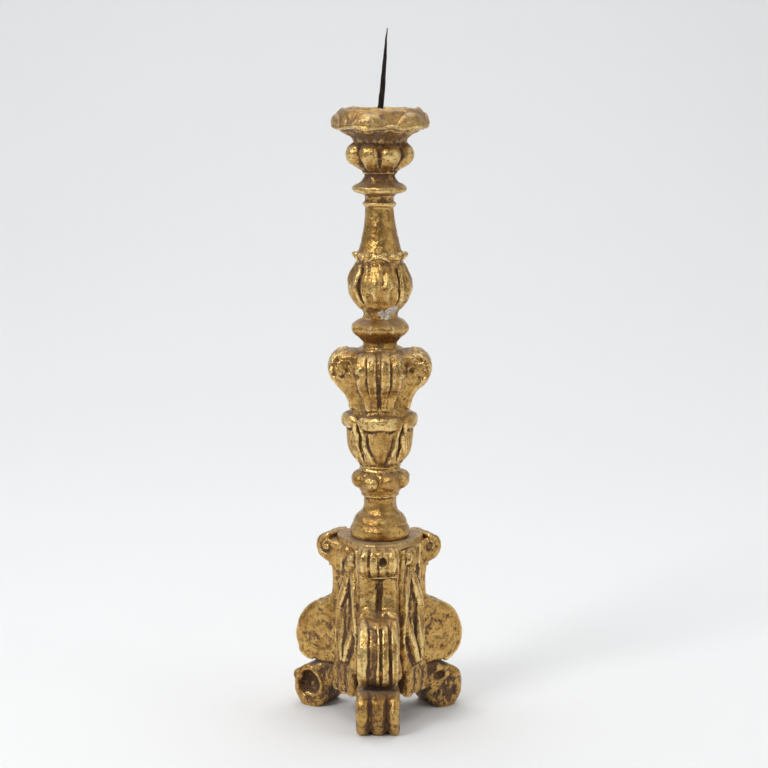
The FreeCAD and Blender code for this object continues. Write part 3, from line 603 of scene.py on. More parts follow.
def carve_leg(seed, flap):
    """One scroll bracket: a ribbed lobe on top, a reeded waist, and a ribbed volute that may have a flap."""
    top = shoulders("leg_front")[1]
    rng = np.random.default_rng(seed)

    def down(*places):
        """Places from their reach, place across and drop."""
        return [(r, t, top - drop) for r, t, drop in places]

    side = [(24.0, 6.5), (30.0, 5.6), (36.0, 5.0), (37.0, 0.6), (41.5, 1.0), (46.0, 5.0), (47.8, 11.0)]
    side += [(46.4, 17.4), (42.0, 21.6), (37.4, 24.0), (34.8, 28.4), (33.2, 36.0), (33.0, 43.0), (33.4, 49.0)]
    side += [(35.4, 53.4), (41.0, 55.6), (48.0, 57.6), (55.0, 62.0), (61.4, 67.8), (66.2, 75.6), (68.2, 84.6)]
    side += [(67.8, 93.0), (65.0, 100.4), (60.2, 105.6), (53.6, 109.4), (44.0, 110.4), (30.0, 110.4)]
    side += [(17.0, 108.0), (16.0, 80.0), (16.0, 30.0)]
    look = side_sheet([(r, top - drop) for r, drop in side], 80, top - 118, top + 8)
    block = Carving((14.0, -20.5, top - 113), (73.0, 23.0, top + 2))

    def body(r, t, z):
        half = 16.4 - 0.5 * ease(top - 20, top - 30, z) + 0.7 * ease(top - 52, top - 62, z)
        half = half - 1.6 * ease(top - 96, top - 110, z)
        belly = 0.006 * t * t * ease(top - 56, top - 64, z)
        return soft_max(look(r, z) + belly, np.abs(t) - half, 3.6)

    block.add(body)
    block.settle()
    # the lobe on top: a worn leaf of four ribs with one deep hollow, over a small bead
    for t, width, relief in ((-11.8, 7.2, 2.0), (-4.0, 8.0, 2.6), (3.8, 7.4, 2.2), (11.2, 7.4, 2.2)):
        sway = t + rng.uniform(-0.8, 0.8)
        rib = [(43.0, t * 0.9, 1.4), (48.0, sway, 8.0), (47.6, sway, 14.0), (43.0, t * 0.86, 21.0)]
        widths = width * np.array([0.7, 1.0, 1.0, 0.8, 0.5])
        block.band(down(*rib, (38.0, t * 0.8, 23.4)), widths, [relief * 0.5, relief, relief, relief, 0.8])
    lumps = [(-11.0, 6.0), (-5.0, 11.4), (0.6, 5.4), (6.8, 5.6), (11.6, 9.6), (-8.4, 15.4), (0.4, 17.6)]
    for t, drop in lumps + [(8.2, 16.6)]:
        size = rng.uniform(2.0, 3.2)
        block.blob((46.4 - 0.014 * (drop - 11.0) ** 2, t, top - drop), (2.6, size, size), 1.6)
    block.blob((49.6, 3.6, top - 10.8), (4.8, 3.0, 3.8), 1.8, True)
    block.band(down((37.0, -13.4, 25.2), (37.0, 0.6, 26.2), (37.0, 13.4, 25.0)), 2.8, 1.6)
    block.band(down((35.0, -14.0, 28.2), (35.0, 0.0, 29.2), (35.0, 14.0, 28.0)), 2.0, 1.0, 0.8, True)
    # two reeds down the waist
    for t, width in ((-8.3, 14.2), (8.2, 13.2)):
        reed = down((33.0, t, 30.4), (32.4, t, 42.0), (33.0, t, 50.0), (37.6, t * 1.03, 54.8))
        block.band(reed, [width - 1, width, width, width + 0.6], [2.2, 2.9, 2.9, 1.8], 0.6)
    crease = down((35.0, 0.0, 31.0), (35.0, 0.3, 42.0), (36.0, 0.0, 51.0), (40.0, 0.0, 55.4))
    block.band(crease, [1.6, 2.6, 2.8, 2.0], [0.8, 1.2, 1.2, 0.8], 0.6, True)
    block.band(down((45.0, -13.0, 56.0), (43.0, 0.0, 56.0), (45.0, 13.0, 56.0)), 5.0, 1.0, 1.2, True)
    # the volute: a sunken strip between ribs of different widths, which start under a small arch
    face = [(50.0, 58.8), (57.0, 63.6), (62.6, 69.6), (66.6, 77.6), (68.0, 86.0), (67.0, 95.0), (62.6, 102.8)]
    face.append((56.0, 108.0))

    def down_the_volute(t, rows=face):
        shares = [0.96 + 0.018 * k for k in range(len(rows))]
        return down(*((r, t * s + rng.uniform(-0.3, 0.3), drop) for s, (r, drop) in zip(shares, rows)))

    ends = np.array([0.6, 1.0, 1.0, 1.0, 1.0, 1.0, 1.0, 0.8])
    block.band(down_the_volute(-3.4, face[1:]), 7.0 * ends[1:], 1.3 * ends[1:], 0.6, True)
    for t, width, relief in ((-11.8, 9.0, 2.3), (5.2, 6.8, 2.2), (12.4, 7.0, 2.2), (-0.2, 2.6, 0.9)):
        points = down_the_volute(t)
        block.band(points, width * ends, relief * ends * (1 + 0.25 * rng.uniform(-1, 1, len(ends))), 0.6)
    for t, width in ((-7.3, 1.8), (1.7, 1.6), (9.0, 1.6)):
        block.band(down_the_volute(t, face[1:]), width, 0.9, 0.6, True)
    if flap:
        edge = down((60.0, 14.6, 82.0), (60.6, 16.4, 89.0), (58.0, 16.8, 98.0), (52.0, 15.4, 104.0))
        block.stroke(edge, [2.0, 3.4, 3.8, 2.4], 1.6)
    # the cheeks: a shallow swirl on the volute and a small eye on the top scroll
    for sign in (-1, 1):
        eye = (45.0 + rng.uniform(-1, 1), top - 84.0 + rng.uniform(-1, 1))
        block.blob((eye[0] + 1.0, sign * 21.4, eye[1]), (20.0, 5.0, 20.0), 2.4, True)
        block.stroke(spiral(eye, 18.6, 11.0, 150, 1.0, 14, sign * 18.0), np.linspace(1.2, 2.2, 14), 1.8, True)
        block.stroke(spiral(eye, 10.6, 4.0, 150, 0.8, 9, sign * 17.4), np.linspace(2.2, 1.2, 9), 1.8, True)
        block.stroke(spiral((38.6, top - 10.4), 7.6, 2.2, 130, 1.2, 10, sign * 16.4), 1.1, 1.2, True)
        block.stroke(down((46.0, sign * 18.6, 66.0), (36.0, sign * 17.1, 58.0)), [1.6, 0.8], 1.6, True)
    return block


def carve_foot(seed, hollow):
    """One scroll foot: three toes in front, a scroll on either cheek, or a hollow on the side of its sign."""
    high = shoulders("foot_front")[1]
    rng = np.random.default_rng(seed)
    side = [(29.0, high), (30.0, 27.0), (34.4, 21.6), (38.0, 16.0), (39.4, 9.0), (42.4, 3.4), (47.0, 0.0)]
    side += [(52.0, -1.2), (57.0, -0.6), (61.4, 2.4), (65.2, 7.4), (67.6, 13.6), (67.8, 20.6), (65.2, 27.0)]
    side += [(61.4, 32.0), (57.2, 35.0), (52.8, 35.0), (48.6, 36.4), (46.0, high + 1.0), (38.0, high + 1.0)]
    look = side_sheet(side, 82, -8, high + 8)
    block = Carving((26.0, -20.0, -1.5), (75.0, 20.0, high + 1.5))
    toes = [(t + rng.uniform(-0.4, 0.4), half) for t, half in ((-12.2, 6.6), (0.6, 7.6), (12.8, 6.2))]

    def body(r, t, z):
        crease = np.minimum.reduce([((t - middle) / half) ** 2 for middle, half in toes])
        proud = (5.2 * np.minimum(crease, 1.3) - 2.8) * ease(49.0, 60.0, r) * ease(36.0, 27.0, z)
        width = 17.3 - 2.8 * (1 - ease(38.0, 50.0, r))
        return soft_max(look(r, z) + proud, np.abs(t) - width, 3.0)

    block.add(body)
    for t, half in toes:
        block.blob((61.0, t, 26.0 + rng.uniform(-0.8, 0.8)), (6.4, half * 0.86, 4.4), 1.6)
    block.stroke([(54.6, -16.0, 39.0), (53.6, 0.0, 39.4), (54.6, 16.0, 39.0)], 2.6, 1.6, True)
    eye = (54.0, 18.6)
    for sign in (-1, 1):
        if hollow == sign:
            block.blob((eye[0] - 1.0, sign * 19.0, eye[1] + 0.5), (12.6, 12.0, 12.2), 1.6, True)
            block.blob((65.4, sign * 15.4, 25.0), (4.6, 3.8, 5.2), 1.4)
            block.stroke(spiral(eye, 14.6, 9.0, 40, 0.7, 9, sign * 15.2, 1), 2.0, 1.2)
        else:
            block.stroke(spiral(eye, 13.0, 2.6, 115, 1.3, 12, sign * 18.6, 1), 1.9, 1.6, True)
            block.blob((47.0, sign * 17.8, 27.4), (5.4, 4.6, 3.8), 1.4, True)
    # the flat sole
    block.add(lambda r, t, z: z, 0.8, True)
    return block


def carve_panel(seed, depth):
    """One side of the base: two ribs, a split leaf with some share of its depth, and three tongues."""
    low, top = shoulders("leaf_panel_back")
    rng = np.random.default_rng(seed)
    block = Carving((20.0, -24.0, low - 1.5), (45.0, 24.0, top + 1))
    # heights, with the reach of the face and half its width there
    rows = [(low, 34.0, 15.0), (40, 35.4, 16.4), (54, 33.2, 17.4), (68, 30.8, 17.6), (84, 28.8, 17.6)]
    rows += [(98, 27.6, 17.4), (112, 27.2, 17.0), (126, 27.4, 16.6), (top, 28.2, 16.6)]
    heights, reaches, halves = zip(*rows)

    def face(t, z):
        bow = np.interp(z, (40, 64, 86, 120), (-0.003, 0.003, 0.013, 0.014))
        return np.interp(z, heights, reaches) + bow * t * t

    def body(n, t, z):
        form = soft_max((n - face(t, z)) * 0.96, np.abs(t) - np.interp(z, heights, halves), 5.0)
        return soft_max(soft_max(form, z - top, 0.8), low + 5.0 - z, 2.0)

    def raised(rows, blend=1.0, cut=False):
        """A band on the face, from rows of place across, height, width and relief."""
        across, places, widths, reliefs = zip(*rows)
        block.band([(face(t, z), t, z) for t, z in zip(across, places)], widths, reliefs, blend, cut)

    block.add(body)
    block.settle()
    # the knob under the board
    for t, drop, size in ((-5.8, 7.0, 5.6), (5.0, 9.0, 6.2), (0.4, 16.0, 4.8), (-1.0, 4.0, 4.6)):
        block.blob((face(t, top - drop) + 0.6, t, top - drop), (4.8, size, size * 1.1), 1.6)
    # the ribs that part below it, and the leaf that hangs between them
    for sign in (-1, 1):
        lean = rng.uniform(-0.6, 0.6)
        groove = [(sign * 11.6, top - 3, 3.0, 1.4), (sign * 10.6, top - 14, 3.4, 1.8)]
        raised(groove + [(sign * 12.0, 118, 3.0, 1.0)], 1.2, True)
        rib = [(sign * 1.4, top - 17, 7.0, 0.8), (sign * 4.6 + lean, 116, 9.4, 2.4)]
        rib += [(sign * 8.6 + lean, 105, 10.0, 3.2), (sign * 12.0, 94, 8.4, 2.8), (sign * 14.2, 80, 6.0, 1.4)]
        raised(rib + [(sign * 14.8, 62, 5.0, 0.8)], 0.9)
        blade = [(10.4, 93, 5.0, 0.6), (10.6, 84, 8.6, 2.6), (8.4, 72, 10.0, 4.4), (5.0, 60, 8.4, 5.2)]
        blade.append((1.9, 49.5, 5.4, 4.0))
        raised([(sign * t, z, width, rise * depth) for t, z, width, rise in blade], 0.8)
        groove = [(sign * 13.8, 70, 3.0, 1.4 * depth), (sign * 11.2, 58, 4.6, 2.4 * depth)]
        raised(groove + [(sign * 6.2, 46.5, 3.4, 1.6)], 1.0, True)
    raised([(0, 114, 2.0, 0.8), (0, 105, 6.0, 2.2), (0, 97, 8.0, 2.6), (0, 88, 6.0, 1.6)], 1.0, True)
    raised([(0, 82, 4.4, 1.4), (0, 72, 3.4, 2.0 * depth), (0, 52, 2.0, 1.4 * depth)], 0.8, True)
    # the fringe of worn tongues along the bottom
    for t, width in ((-11.4, 11.4), (0.4, 12.4), (11.6, 11.0)):
        drip = low + 5 + rng.uniform(1.0, 3.4)
        shift = t + rng.uniform(-0.8, 0.8)
        root = 44 + rng.uniform(-4, 4)
        raised([(shift * 0.9, root, 7.0, 0.5), (shift, 34, width, 1.8), (shift, drip, width, 2.6)], 1.6)
    return block


def carve_board():
    """The board on top of the base: three lobes over the legs, three hollow edges between, worn round."""
    low, top = shoulders("base_top_board")
    block = Carving((-42.0, -42.0, low - 1.5), (42.0, 42.0, top + 1.5))

    def plate(x, y, z):
        angle = np.mod(np.arctan2(y, x) - math.radians(30) + math.pi / 3, 2 * math.pi / 3) - math.pi / 3
        radius = np.sqrt(x * x + y * y)
        beyond = np.maximum(radius * np.cos(angle) - 17.4, 0)
        lobe = np.sqrt(beyond * beyond + (radius * np.sin(angle)) ** 2) - 19.8
        edge = soft_min(lobe, radius - 29.6, 5.0) * 0.94
        return soft_max(soft_max(edge, z - top, 2.2), low - z, 1.0)

    block.add(plate)
    # the hole for the stem foot's tenon
    block.add(lambda x, y, z: np.sqrt(x * x + y * y) - 10.4, cut=True)
    return block


# ---------------------------------------------------------------- the forged pricket


def forge_pricket():
    """A leaning spike, hammered from square stock into a rough round taper, on its tang. Points and faces."""
    high_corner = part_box("pricket_spike")[1]
    tip, lean = high_corner.z / MM, high_corner.x / MM - 0.5
    floor = shoulders("drip_pan")[1] - 6.4
    sunk, around, length = 3.0, 20, 70
    root_radius, tip_radius = 2.35, 0.35
    angles = np.linspace(0, 2 * math.pi, around, endpoint=False)
    square = 0.62 + 0.38 * 0.86 / np.maximum(np.abs(np.cos(angles + 0.5)), np.abs(np.sin(angles + 0.5)))
    points = []
    for z in np.linspace(floor - sunk, tip, length + 1):
        up = max(0.0, (z - floor) / (tip - floor))
        x, y = lean * up**1.12 + 0.5 * math.sin(up * 5.0) * up, 0.25 * math.sin(up * 4.0)
        radius = root_radius + (tip_radius - root_radius) * up**1.7
        for a, share in zip(angles, square):
            points.append((x + radius * share * math.cos(a), y + radius * share * math.sin(a), z))
    points = np.array(points)
    hammer = Lattice(71, 5.0)
    points[:, :2] += 0.22 * np.column_stack([hammer(points), hammer(points + 40.0)])
    rings = [range(k * around, (k + 1) * around) for k in range(length + 1)]
    faces = [tuple(rings[0])[::-1], tuple(rings[-1])]
    for ring, above in zip(rings, rings[1:]):
        for i in range(around):
            j = (i + 1) % around
            faces.append((ring[i], ring[j], above[j], above[i]))
    return points, faces


# ---------------------------------------------------------------- from carvings to meshes


def spun(points, degrees):
    """Points turned about the stem's axis."""
    c, s = math.cos(math.radians(degrees)), math.sin(math.radians(degrees))
    x, y, z = points.T
    return np.column_stack([x * c - y * s, x * s + y * c, z])


def hand_made(points, normal, seed):
    """Small wandering of hand work: slow shifts shared by all pieces, then gouge facets on each one."""
    still = ease(0.0, 14.0, points[:, 2])[:, None]
    slow = np.column_stack([Lattice(100 + n, 38.0)(points) for n in range(3)]) * 0.55
    local = np.column_stack([Lattice(seed * 3 + n, 9.0)(points) for n in range(3)]) * 0.44
    facets = Lattice(seed + 7, 3.6)(points) * 0.28 + Lattice(seed + 8, 1.6)(points) * 0.10
    off_the_table = np.abs(points[:, 2]) >= 0.7
    return points + (slow + local) * still + normal * (facets * off_the_table)[:, None]


class Crowd:
    """A coarse map of where there is wood, to tell how boxed in a place on the surface is; boxed-in places
    get painted shade and dust.
    """

    STEP = 2.0
    MARGIN = 24.0

    def __init__(self):
        low, high = np.array(CAD_CORNERS) / MM
        self.low = low - self.MARGIN
        self.map = np.zeros(np.ceil((high - low + 2 * self.MARGIN) / self.STEP).astype(int), np.float32)

    def fill(self, block, degrees):
        skip = max(1, int(round(1.3 / VOXEL)))
        inside = np.argwhere(block.field[::skip, ::skip, ::skip] < 0) * (skip * VOXEL) + block.low
        cells = ((spun(inside, degrees) - self.low) / self.STEP).astype(int)
        self.map[tuple(cells.T)] = 1.0

    def blur(self):
        for axis in (0, 1, 2) * 3:
            self.map = (self.map + sum(np.roll(self.map, k, axis) for k in (-2, -1, 1, 2))) / 5.0

    def at(self, points):
        i = np.clip(((points - self.low) / self.STEP).round().astype(int), 0, np.array(self.map.shape) - 1)
        return self.map[tuple(i.T)]


def chip_nearness(points, centre, size):
    """1 where a chip has bared the ground, 0 away from it, with a ragged edge between."""
    away = np.linalg.norm(points - np.array(centre), axis=1) / size
    return 1 - ease(0.75, 1.15, away + 0.35 * Lattice(950, 1.7)(points))


def condition(name, points, facing, relief, crowd):
    """Shares of grime with painted shade, wear with painted highlight, dust and chipping at each point, from
    how proud, boxed in, level and high it is.
    """
    fine, broad, wide = relief
    boxed = crowd.at(points + facing * 4.0)
    drift = Lattice(900, 14.0)(points) * 0.5 + Lattice(901, 6.0)(points) * 0.5
    near_table = 1 - ease(5.0, 60.0, points[:, 2])
    level = ease(0.5, 0.95, facing[:, 2])
    # grime with painted shade: brown dirt from the piece's tarnish and drift, darker in hollows as dirt and
    # painted shade, and painted shade towards the table and where other wood boxes the place in
    grime_and_shade = TARNISH.get(name, 0.0) + 0.50 * near_table + 0.42
    grime_and_shade = grime_and_shade - 0.45 * fine - 0.40 * broad - 0.12 * wide + 1.0 * (boxed - 0.33) + 0.30 * drift
    if name.startswith("leaf_panel"):
        grime_and_shade = grime_and_shade + 0.10
    if name.startswith("foot"):
        # painted shadow on the foot's top ledge, which lies under the leg's volute
        ledge_shadow = ease(27.0, 31.0, points[:, 2]) * ease(61.0, 58.0, np.hypot(points[:, 0], points[:, 1]))
        grime_and_shade = grime_and_shade + 0.30 * ledge_shadow
    # wear with painted highlight: paler on convex edges and ridges, as rubbed gilding and as a painted
    # highlight, and darker towards the bottom
    wear_and_highlight = 0.22 + 1.2 * (1.4 * fine + 0.48 * broad - 0.2 * near_table) + 0.30 * drift
    dust = level * (0.55 + 0.9 * (boxed - 0.2) + 0.35 * drift) + GREYED.get(name, 0.0) * (0.6 + 0.6 * drift)
    chip = np.max([chip_nearness(points, *chip) for chip in CHIPS], axis=0)
    return {"grime_and_shade": grime_and_shade, "wear_and_highlight": wear_and_highlight, "dust": dust, "chip": chip}


def new_mesh(name, points, faces):
    mesh = bpy.data.meshes.new(name)
    if isinstance(faces, np.ndarray):
        mesh.vertices.add(len(points))
        mesh.vertices.foreach_set("co", (points * MM).astype(np.float32).ravel())
        mesh.loops.add(faces.size)
        mesh.loops.foreach_set("vertex_index", faces.astype(np.int32).ravel())
        mesh.polygons.add(len(faces))
        mesh.polygons.foreach_set("loop_start", np.arange(0, faces.size, faces.shape[1], dtype=np.int32))
        mesh.update(calc_edges=True)
        mesh.validate()
    else:
        mesh.from_pydata([tuple(p * MM) for p in points], [], faces)
    mesh.polygons.foreach_set("use_smooth", np.ones(len(mesh.polygons), bool))
    mesh.update()
    return mesh


def new_object(name, mesh, material, node):
    """A visible piece that stands in for a CAD node."""
    obj = bpy.data.objects.new(name, mesh)
    bpy.context.scene.collection.objects.link(obj)
    mesh.materials.append(material)
    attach(obj, "root")
    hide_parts(node)


# ---------------------------------------------------------------- materials


class Nodes:
    """A small hand for wiring shader nodes. Sizes are in millimetres."""

    def __init__(self, name):
        self.material = bpy.data.materials.new(name)
        self.material.use_nodes = True
        self.tree = self.material.node_tree
        self.tree.nodes.clear()
        self.surface = self.node("BsdfPrincipled")
        self.link(self.surface.outputs[0], self.node("OutputMaterial").inputs[0])
        self.where = self.node("TexCoord").outputs["Object"]

    def node(self, kind):
        return self.tree.nodes.new("ShaderNode" + kind)

    def link(self, a, b):
        self.tree.links.new(a, b)

    def put(self, value, socket):
        if hasattr(value, "is_linked"):
            self.link(value, socket)
        else:
            socket.default_value = value

    def attribute(self, name):
        node = self.node("Attribute")
        node.attribute_name = name
        return node.outputs["Fac"]

    def noise(self, size, detail=3.0, rough=0.55, stretch=None):
        node = self.node("TexNoise")
        for key, number in (("Scale", 1.0 / (size * MM)), ("Detail", detail), ("Roughness", rough)):
            node.inputs[key].default_value = number
        where = self.where
        if stretch:
            mapping = self.node("Mapping")
            mapping.inputs["Scale"].default_value = stretch
            self.link(self.where, mapping.inputs["Vector"])
            where = mapping.outputs[0]
        self.link(where, node.inputs["Vector"])
        return node.outputs["Fac"]

    def math(self, operation, a, b):
        node = self.node("Math")
        node.operation = operation
        self.put(a, node.inputs[0])
        self.put(b, node.inputs[1])
        return node.outputs[0]

    def add(self, a, b):
        return self.math("ADD", a, b)

    def times(self, a, b):
        return self.math("MULTIPLY", a, b)

    def most(self, a, b):
        return self.math("MAXIMUM", a, b)

    def swing(self, noise, amount):
        """A noise moved to run about zero, and scaled."""
        return self.times(self.math("SUBTRACT", noise, 0.5), amount)

    def ramp(self, value, low, high, out_low=0.0, out_high=1.0):
        node = self.node("MapRange")
        node.interpolation_type = "SMOOTHSTEP"
        for key, number in zip(("From Min", "From Max", "To Min", "To Max"), (low, high, out_low, out_high)):
            node.inputs[key].default_value = number
        self.put(value, node.inputs["Value"])
        return node.outputs[0]

    def mix(self, share, a, b):
        """A mix of two colours."""
        node = self.node("Mix")
        node.data_type = "RGBA"
        self.put(share, node.inputs["Factor"])
        for value, key in ((a, 6), (b, 7)):
            self.put((*value, 1.0) if isinstance(value, tuple) else value, node.inputs[key])
        return node.outputs[2]

    def blend(self, share, a, b):
        """A mix of two numbers."""
        node = self.node("Mix")
        self.put(share, node.inputs["Factor"])
        self.put(a, node.inputs["A"])
        self.put(b, node.inputs["B"])
        return node.outputs[0]

    def bump(self, height, distance, strength):
        node = self.node("Bump")
        node.inputs["Distance"].default_value = distance * MM
        node.inputs["Strength"].default_value = strength
        self.link(height, node.inputs["Height"])
        return node.outputs[0]

    def finish(self, colour, metallic, roughness, normal=None):
        self.put(colour, self.surface.inputs["Base Color"])
        self.put(metallic, self.surface.inputs["Metallic"])
        self.put(roughness, self.surface.inputs["Roughness"])
        if normal is not None:
            self.link(normal, self.surface.inputs["Normal"])
        return self.material


def gilded_wood():
    """Water gilding on red-brown clay over gesso, rubbed on the high places and brown in the low ones, with a
    painted highlight on the high places and painted shade in the low ones.
    """
    n = Nodes("gilded_wood")
    grime_and_shade, wear_and_highlight, dust, chip = (n.attribute(key) for key in ("grime_and_shade", "wear_and_highlight", "dust", "chip"))
    broad, patch, fleck = n.noise(13.0, 4.0), n.noise(5.4, 5.0, 0.65), n.noise(2.1, 4.0, 0.72)
    grain, streak = n.noise(0.5, 2.0), n.noise(3.2, 5.0, 0.7, (1.0, 1.0, 0.36))
    # the gold leaf, brightest where it is rubbed and where a highlight is painted, and the brown of dirt and
    # painted shade in its hollows, with dirt specks
    gold = n.mix(n.ramp(broad, 0.38, 0.62), (0.46, 0.258, 0.074), (0.63, 0.39, 0.122))
    # pale gold where rubbed, partly a painted highlight on edges and ridges
    gold = n.mix(n.ramp(wear_and_highlight, 0.42, 0.85), gold, (0.90, 0.655, 0.27))
    gold = n.mix(n.ramp(patch, 0.50, 0.66, 0.0, 0.75), gold, (0.30, 0.135, 0.022))
    # the dark brown laid where dirt and painted shade lie, by a mask from the grime attribute broken up by
    # noise, with dirt specks
    brown = n.mix(n.ramp(patch, 0.35, 0.65), (0.042, 0.017, 0.006), (0.150, 0.064, 0.022))
    mottled = n.add(n.add(n.add(grime_and_shade, n.swing(patch, 2.0)), n.swing(streak, 1.9)), n.swing(fleck, 1.9))
    specks = n.times(n.ramp(fleck, 0.55, 0.63), n.ramp(streak, 0.40, 0.58, 0.2, 0.9))
    dirt_and_shade = n.most(n.ramp(mottled, 0.46, 0.86), specks)
    # where rubbing has bared the clay, and where the white ground shows
    bared = n.times(n.times(n.ramp(wear_and_highlight, 0.4, 0.8), n.ramp(broad, 0.54, 0.62)), n.ramp(streak, 0.45, 0.6))
    chalk = n.times(n.ramp(wear_and_highlight, 0.6, 0.8), n.ramp(n.noise(7.3, 2.0), 0.70, 0.74))
    chalk = n.most(chalk, n.ramp(chip, 0.45, 0.75))
    settled = n.times(dust, n.ramp(streak, 0.32, 0.62, 0.35, 0.95))
    colour = n.mix(dirt_and_shade, gold, brown)
    colour = n.mix(n.times(bared, 0.85), colour, (0.20, 0.055, 0.020))
    colour = n.mix(settled, colour, (0.30, 0.215, 0.145))
    colour = n.mix(chalk, colour, n.mix(n.ramp(fleck, 0.4, 0.6), (0.44, 0.37, 0.29), (0.80, 0.76, 0.68)))
    matt = n.most(n.most(dirt_and_shade, settled), n.most(bared, chalk))
    rough = n.add(n.blend(matt, 0.215, 0.66), n.swing(fleck, 0.35))
    height = n.add(n.add(streak, n.times(fleck, 0.6)), n.times(grain, 0.15))
    height = n.math("SUBTRACT", height, n.times(dirt_and_shade, 0.2))
    return n.finish(colour, n.ramp(matt, 0.2, 0.85, 0.95, 0.0), rough, n.bump(height, 0.9, 0.6))


def bare_wood():
    """Old unfinished wood, seen only under the base."""
    n = Nodes("bare_wood")
    streak = n.noise(2.2, 5.0, 0.6, (1.0, 1.0, 0.12))
    ring = n.noise(9.0, 3.0)
    colour = n.mix(n.ramp(streak, 0.3, 0.7), (0.10, 0.055, 0.026), (0.26, 0.155, 0.078))
    colour = n.mix(n.times(n.ramp(ring, 0.5, 0.7), 0.5), colour, (0.05, 0.03, 0.018))
    return n.finish(colour, 0.0, n.ramp(streak, 0.2, 0.8, 0.62, 0.9), n.bump(streak, 0.5, 0.5))


def forged_iron():
    """Hammered iron under a black-brown oxide, a little rusty."""
    n = Nodes("forged_iron")
    scale, pits = n.noise(2.6, 4.0, 0.6, (1.0, 1.0, 0.4)), n.noise(0.6, 3.0)
    colour = n.mix(n.ramp(scale, 0.4, 0.65), (0.012, 0.010, 0.009), (0.035, 0.024, 0.018))
    colour = n.mix(n.times(n.ramp(pits, 0.6, 0.7), 0.6), colour, (0.085, 0.034, 0.014))
    bump = n.bump(n.add(scale, n.times(pits, 0.4)), 0.4, 0.5)
    return n.finish(colour, n.ramp(pits, 0.5, 0.7, 0.75, 0.2), n.ramp(scale, 0.3, 0.7, 0.36, 0.62), bump)


def studio_paper():
    n = Nodes("paper_sweep")
    return n.finish(n.mix(n.noise(400.0, 1.0), (0.83, 0.83, 0.83), (0.845, 0.845, 0.843)), 0.0, 0.9)


# ---------------------------------------------------------------- putting it together


def corners_of(bounds):
    values = [tuple(v) for v in bounds]
    return values[0], values[1]


CAD_CORNERS = corners_of(CAD_BOUNDS)


def carve_all():
    """Every carved piece as its node's name, its block, the direction it faces and a seed of its own."""
    stem = {
        "drip_pan": carve_pan,
        "gadroon_knop": carve_knop,
        "upper_baluster": carve_baluster,
        "leaf_capital": carve_capital,
        "lower_vase": carve_vase,
        "stem_foot": carve_stem_foot,
        "base_top_board": carve_board,
    }
    for k, (name, carve) in enumerate(stem.items()):
        yield name, carve(), 0.0, 200 + 10 * k
    for k, (name, angle) in enumerate(LEG_ANGLES.items()):
        yield "leg_" + name, carve_leg(300 + k, name == "front"), angle, 300 + 10 * k
        yield "foot_" + name, carve_foot(340 + k, 1 if name == "left" else 0), angle, 400 + 10 * k
    for k, (name, angle) in enumerate(PANEL_ANGLES.items()):
        depth = 0.55 if name == "front_left" else 1.0
        yield "leaf_panel_" + name, carve_panel(360 + k, depth), angle, 500 + 10 * k


def build_carvings():
    crowd = Crowd()
    carved = []
    for name, block, degrees, seed in carve_all():
        points, quads, normal, relief = block.surface()
        points[:, :2] += SET_OVER.get(name, (0, 0))
        crowd.fill(block, degrees)
        facing = spun(normal, degrees)
        carved.append((name, hand_made(spun(points, degrees), facing, seed), quads, facing, relief))
    crowd.blur()
    gilt = gilded_wood()
    for name, points, quads, facing, relief in carved:
        mesh = new_mesh(name + "_carving", points, quads)
        for key, shares in condition(name, points, facing, relief, crowd).items():
            shares = np.clip(shares, 0, 1).astype(np.float32)
            mesh.attributes.new(key, "FLOAT", "POINT").data.foreach_set("value", shares)
        new_object(name + "_gilt", mesh, gilt, name)


def build_pricket():
    mesh = new_mesh("pricket", *forge_pricket())
    new_object("pricket_spike_forged", mesh, forged_iron(), "pricket_spike")


def dress_hidden_wood():
    wood = bare_wood()
    for name in ("base_core", "leg_dowels", "foot_dowels"):
        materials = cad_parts[name].data.materials
        materials.clear()
        materials.append(wood)


# ---------------------------------------------------------------- stage, light and camera


def on_stage(name, data, place=(0, 0, 0), rotation=(0, 0, 0)):
    obj = bpy.data.objects.new(name, data)
    bpy.context.scene.collection.objects.link(obj)
    obj.location = place
    obj.rotation_euler = rotation
    obj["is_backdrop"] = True
    return obj


def sweep():
    """A pale paper sweep: the floor rises in a wide curve into the backdrop."""
    half_width, front, curve_start, curve_radius, top = 6.0, -4.0, 0.96, 1.6, 3.6
    profile = [(front, 0.0), (curve_start, 0.0)]
    for a in np.linspace(0, math.pi / 2, 16):
        profile.append((curve_start + curve_radius * math.sin(a), curve_radius - curve_radius * math.cos(a)))
    profile.append((curve_start + curve_radius, top))
    points = [(x, y, z) for y, z in profile for x in (-half_width, half_width)]
    faces = [(2 * k, 2 * k + 1, 2 * k + 3, 2 * k + 2) for k in range(len(profile) - 1)]
    mesh = bpy.data.meshes.new("sweep")
    mesh.from_pydata(points, [], faces)
    mesh.polygons.foreach_set("use_smooth", [True] * len(faces))
    mesh.materials.append(studio_paper())
    on_stage("sweep", mesh)


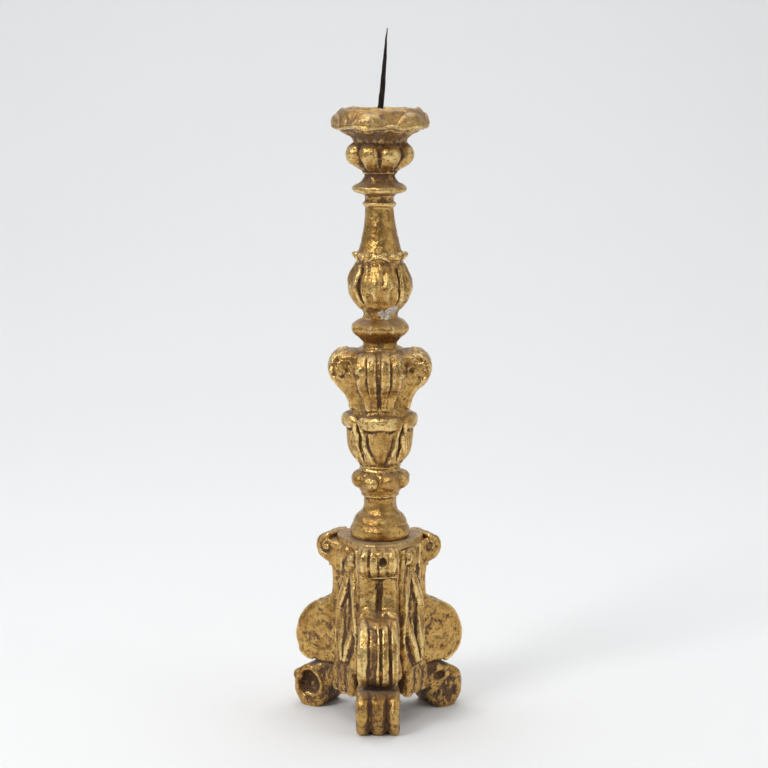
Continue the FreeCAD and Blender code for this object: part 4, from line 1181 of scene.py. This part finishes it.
def softbox(name, place, aim, size, power):
    lamp = bpy.data.lights.new(name, "AREA")
    lamp.shape = "RECTANGLE"
    lamp.size, lamp.size_y = size
    lamp.energy = power
    x, y, z = np.array(aim, float) - place
    on_stage(name, lamp, place, (math.atan2(math.hypot(x, y), -z), 0.0, math.atan2(y, x) - math.pi / 2))


def camera():
    """A long lens a little below the height of the spike's tip, looking slightly down."""
    lens = bpy.data.cameras.new("camera")
    lens.lens, lens.sensor_width = 100.3, 36.0
    away, aside, below_tip, tilt = 1.689, 3.2 * MM, 4.1 * MM, 9.31
    place = (aside, -away, CAD_CORNERS[1][2] - below_tip)
    bpy.context.scene.camera = on_stage("camera", lens, place, (math.radians(90 - tilt), 0, 0))


def studio():
    """A white room that darkens behind the camera, so that the gilding has something deep to mirror."""
    world = bpy.data.worlds.new("studio")
    world.use_nodes = True
    tree = world.node_tree
    background = tree.nodes["Background"]
    where = tree.nodes.new("ShaderNodeSeparateXYZ")
    tree.links.new(tree.nodes.new("ShaderNodeTexCoord").outputs["Generated"], where.inputs[0])
    total = tree.nodes.new("ShaderNodeMath")
    for k, (axis, *numbers) in enumerate((("Y", -0.9, 0.4, 0.08, 0.46), ("Z", 0.0, 0.8, 0.0, 0.38))):
        ramp = tree.nodes.new("ShaderNodeMapRange")
        for key, number in zip(("From Min", "From Max", "To Min", "To Max"), numbers):
            ramp.inputs[key].default_value = number
        tree.links.new(where.outputs[axis], ramp.inputs["Value"])
        tree.links.new(ramp.outputs[0], total.inputs[k])
    tree.links.new(total.outputs[0], background.inputs["Strength"])
    background.inputs["Color"].default_value = (0.96, 0.98, 1.0, 1.0)
    bpy.context.scene.world = world


build_carvings()
build_pricket()
dress_hidden_wood()
studio()
sweep()
softbox("key", (-1.4, -1.5, 2.0), (0, 0, 0.3), (0.8, 0.8), 27.0)
softbox("fill", (1.9, -1.0, 1.0), (0, 0, 0.25), (0.8, 1.6), 5.0)
softbox("top", (0.0, 0.5, 2.4), (0, 0, 0.2), (1.8, 1.4), 17.0)
softbox("backdrop", (0.0, 1.2, 2.6), (0, 2.56, 1.0), (2.4, 0.6), 10.0)
camera()
bpy.context.scene.view_settings.view_transform = "Standard"

visual = corners_of(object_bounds())
{"cad": [list(c) for c in CAD_CORNERS], "visual": [list(c) for c in visual]}
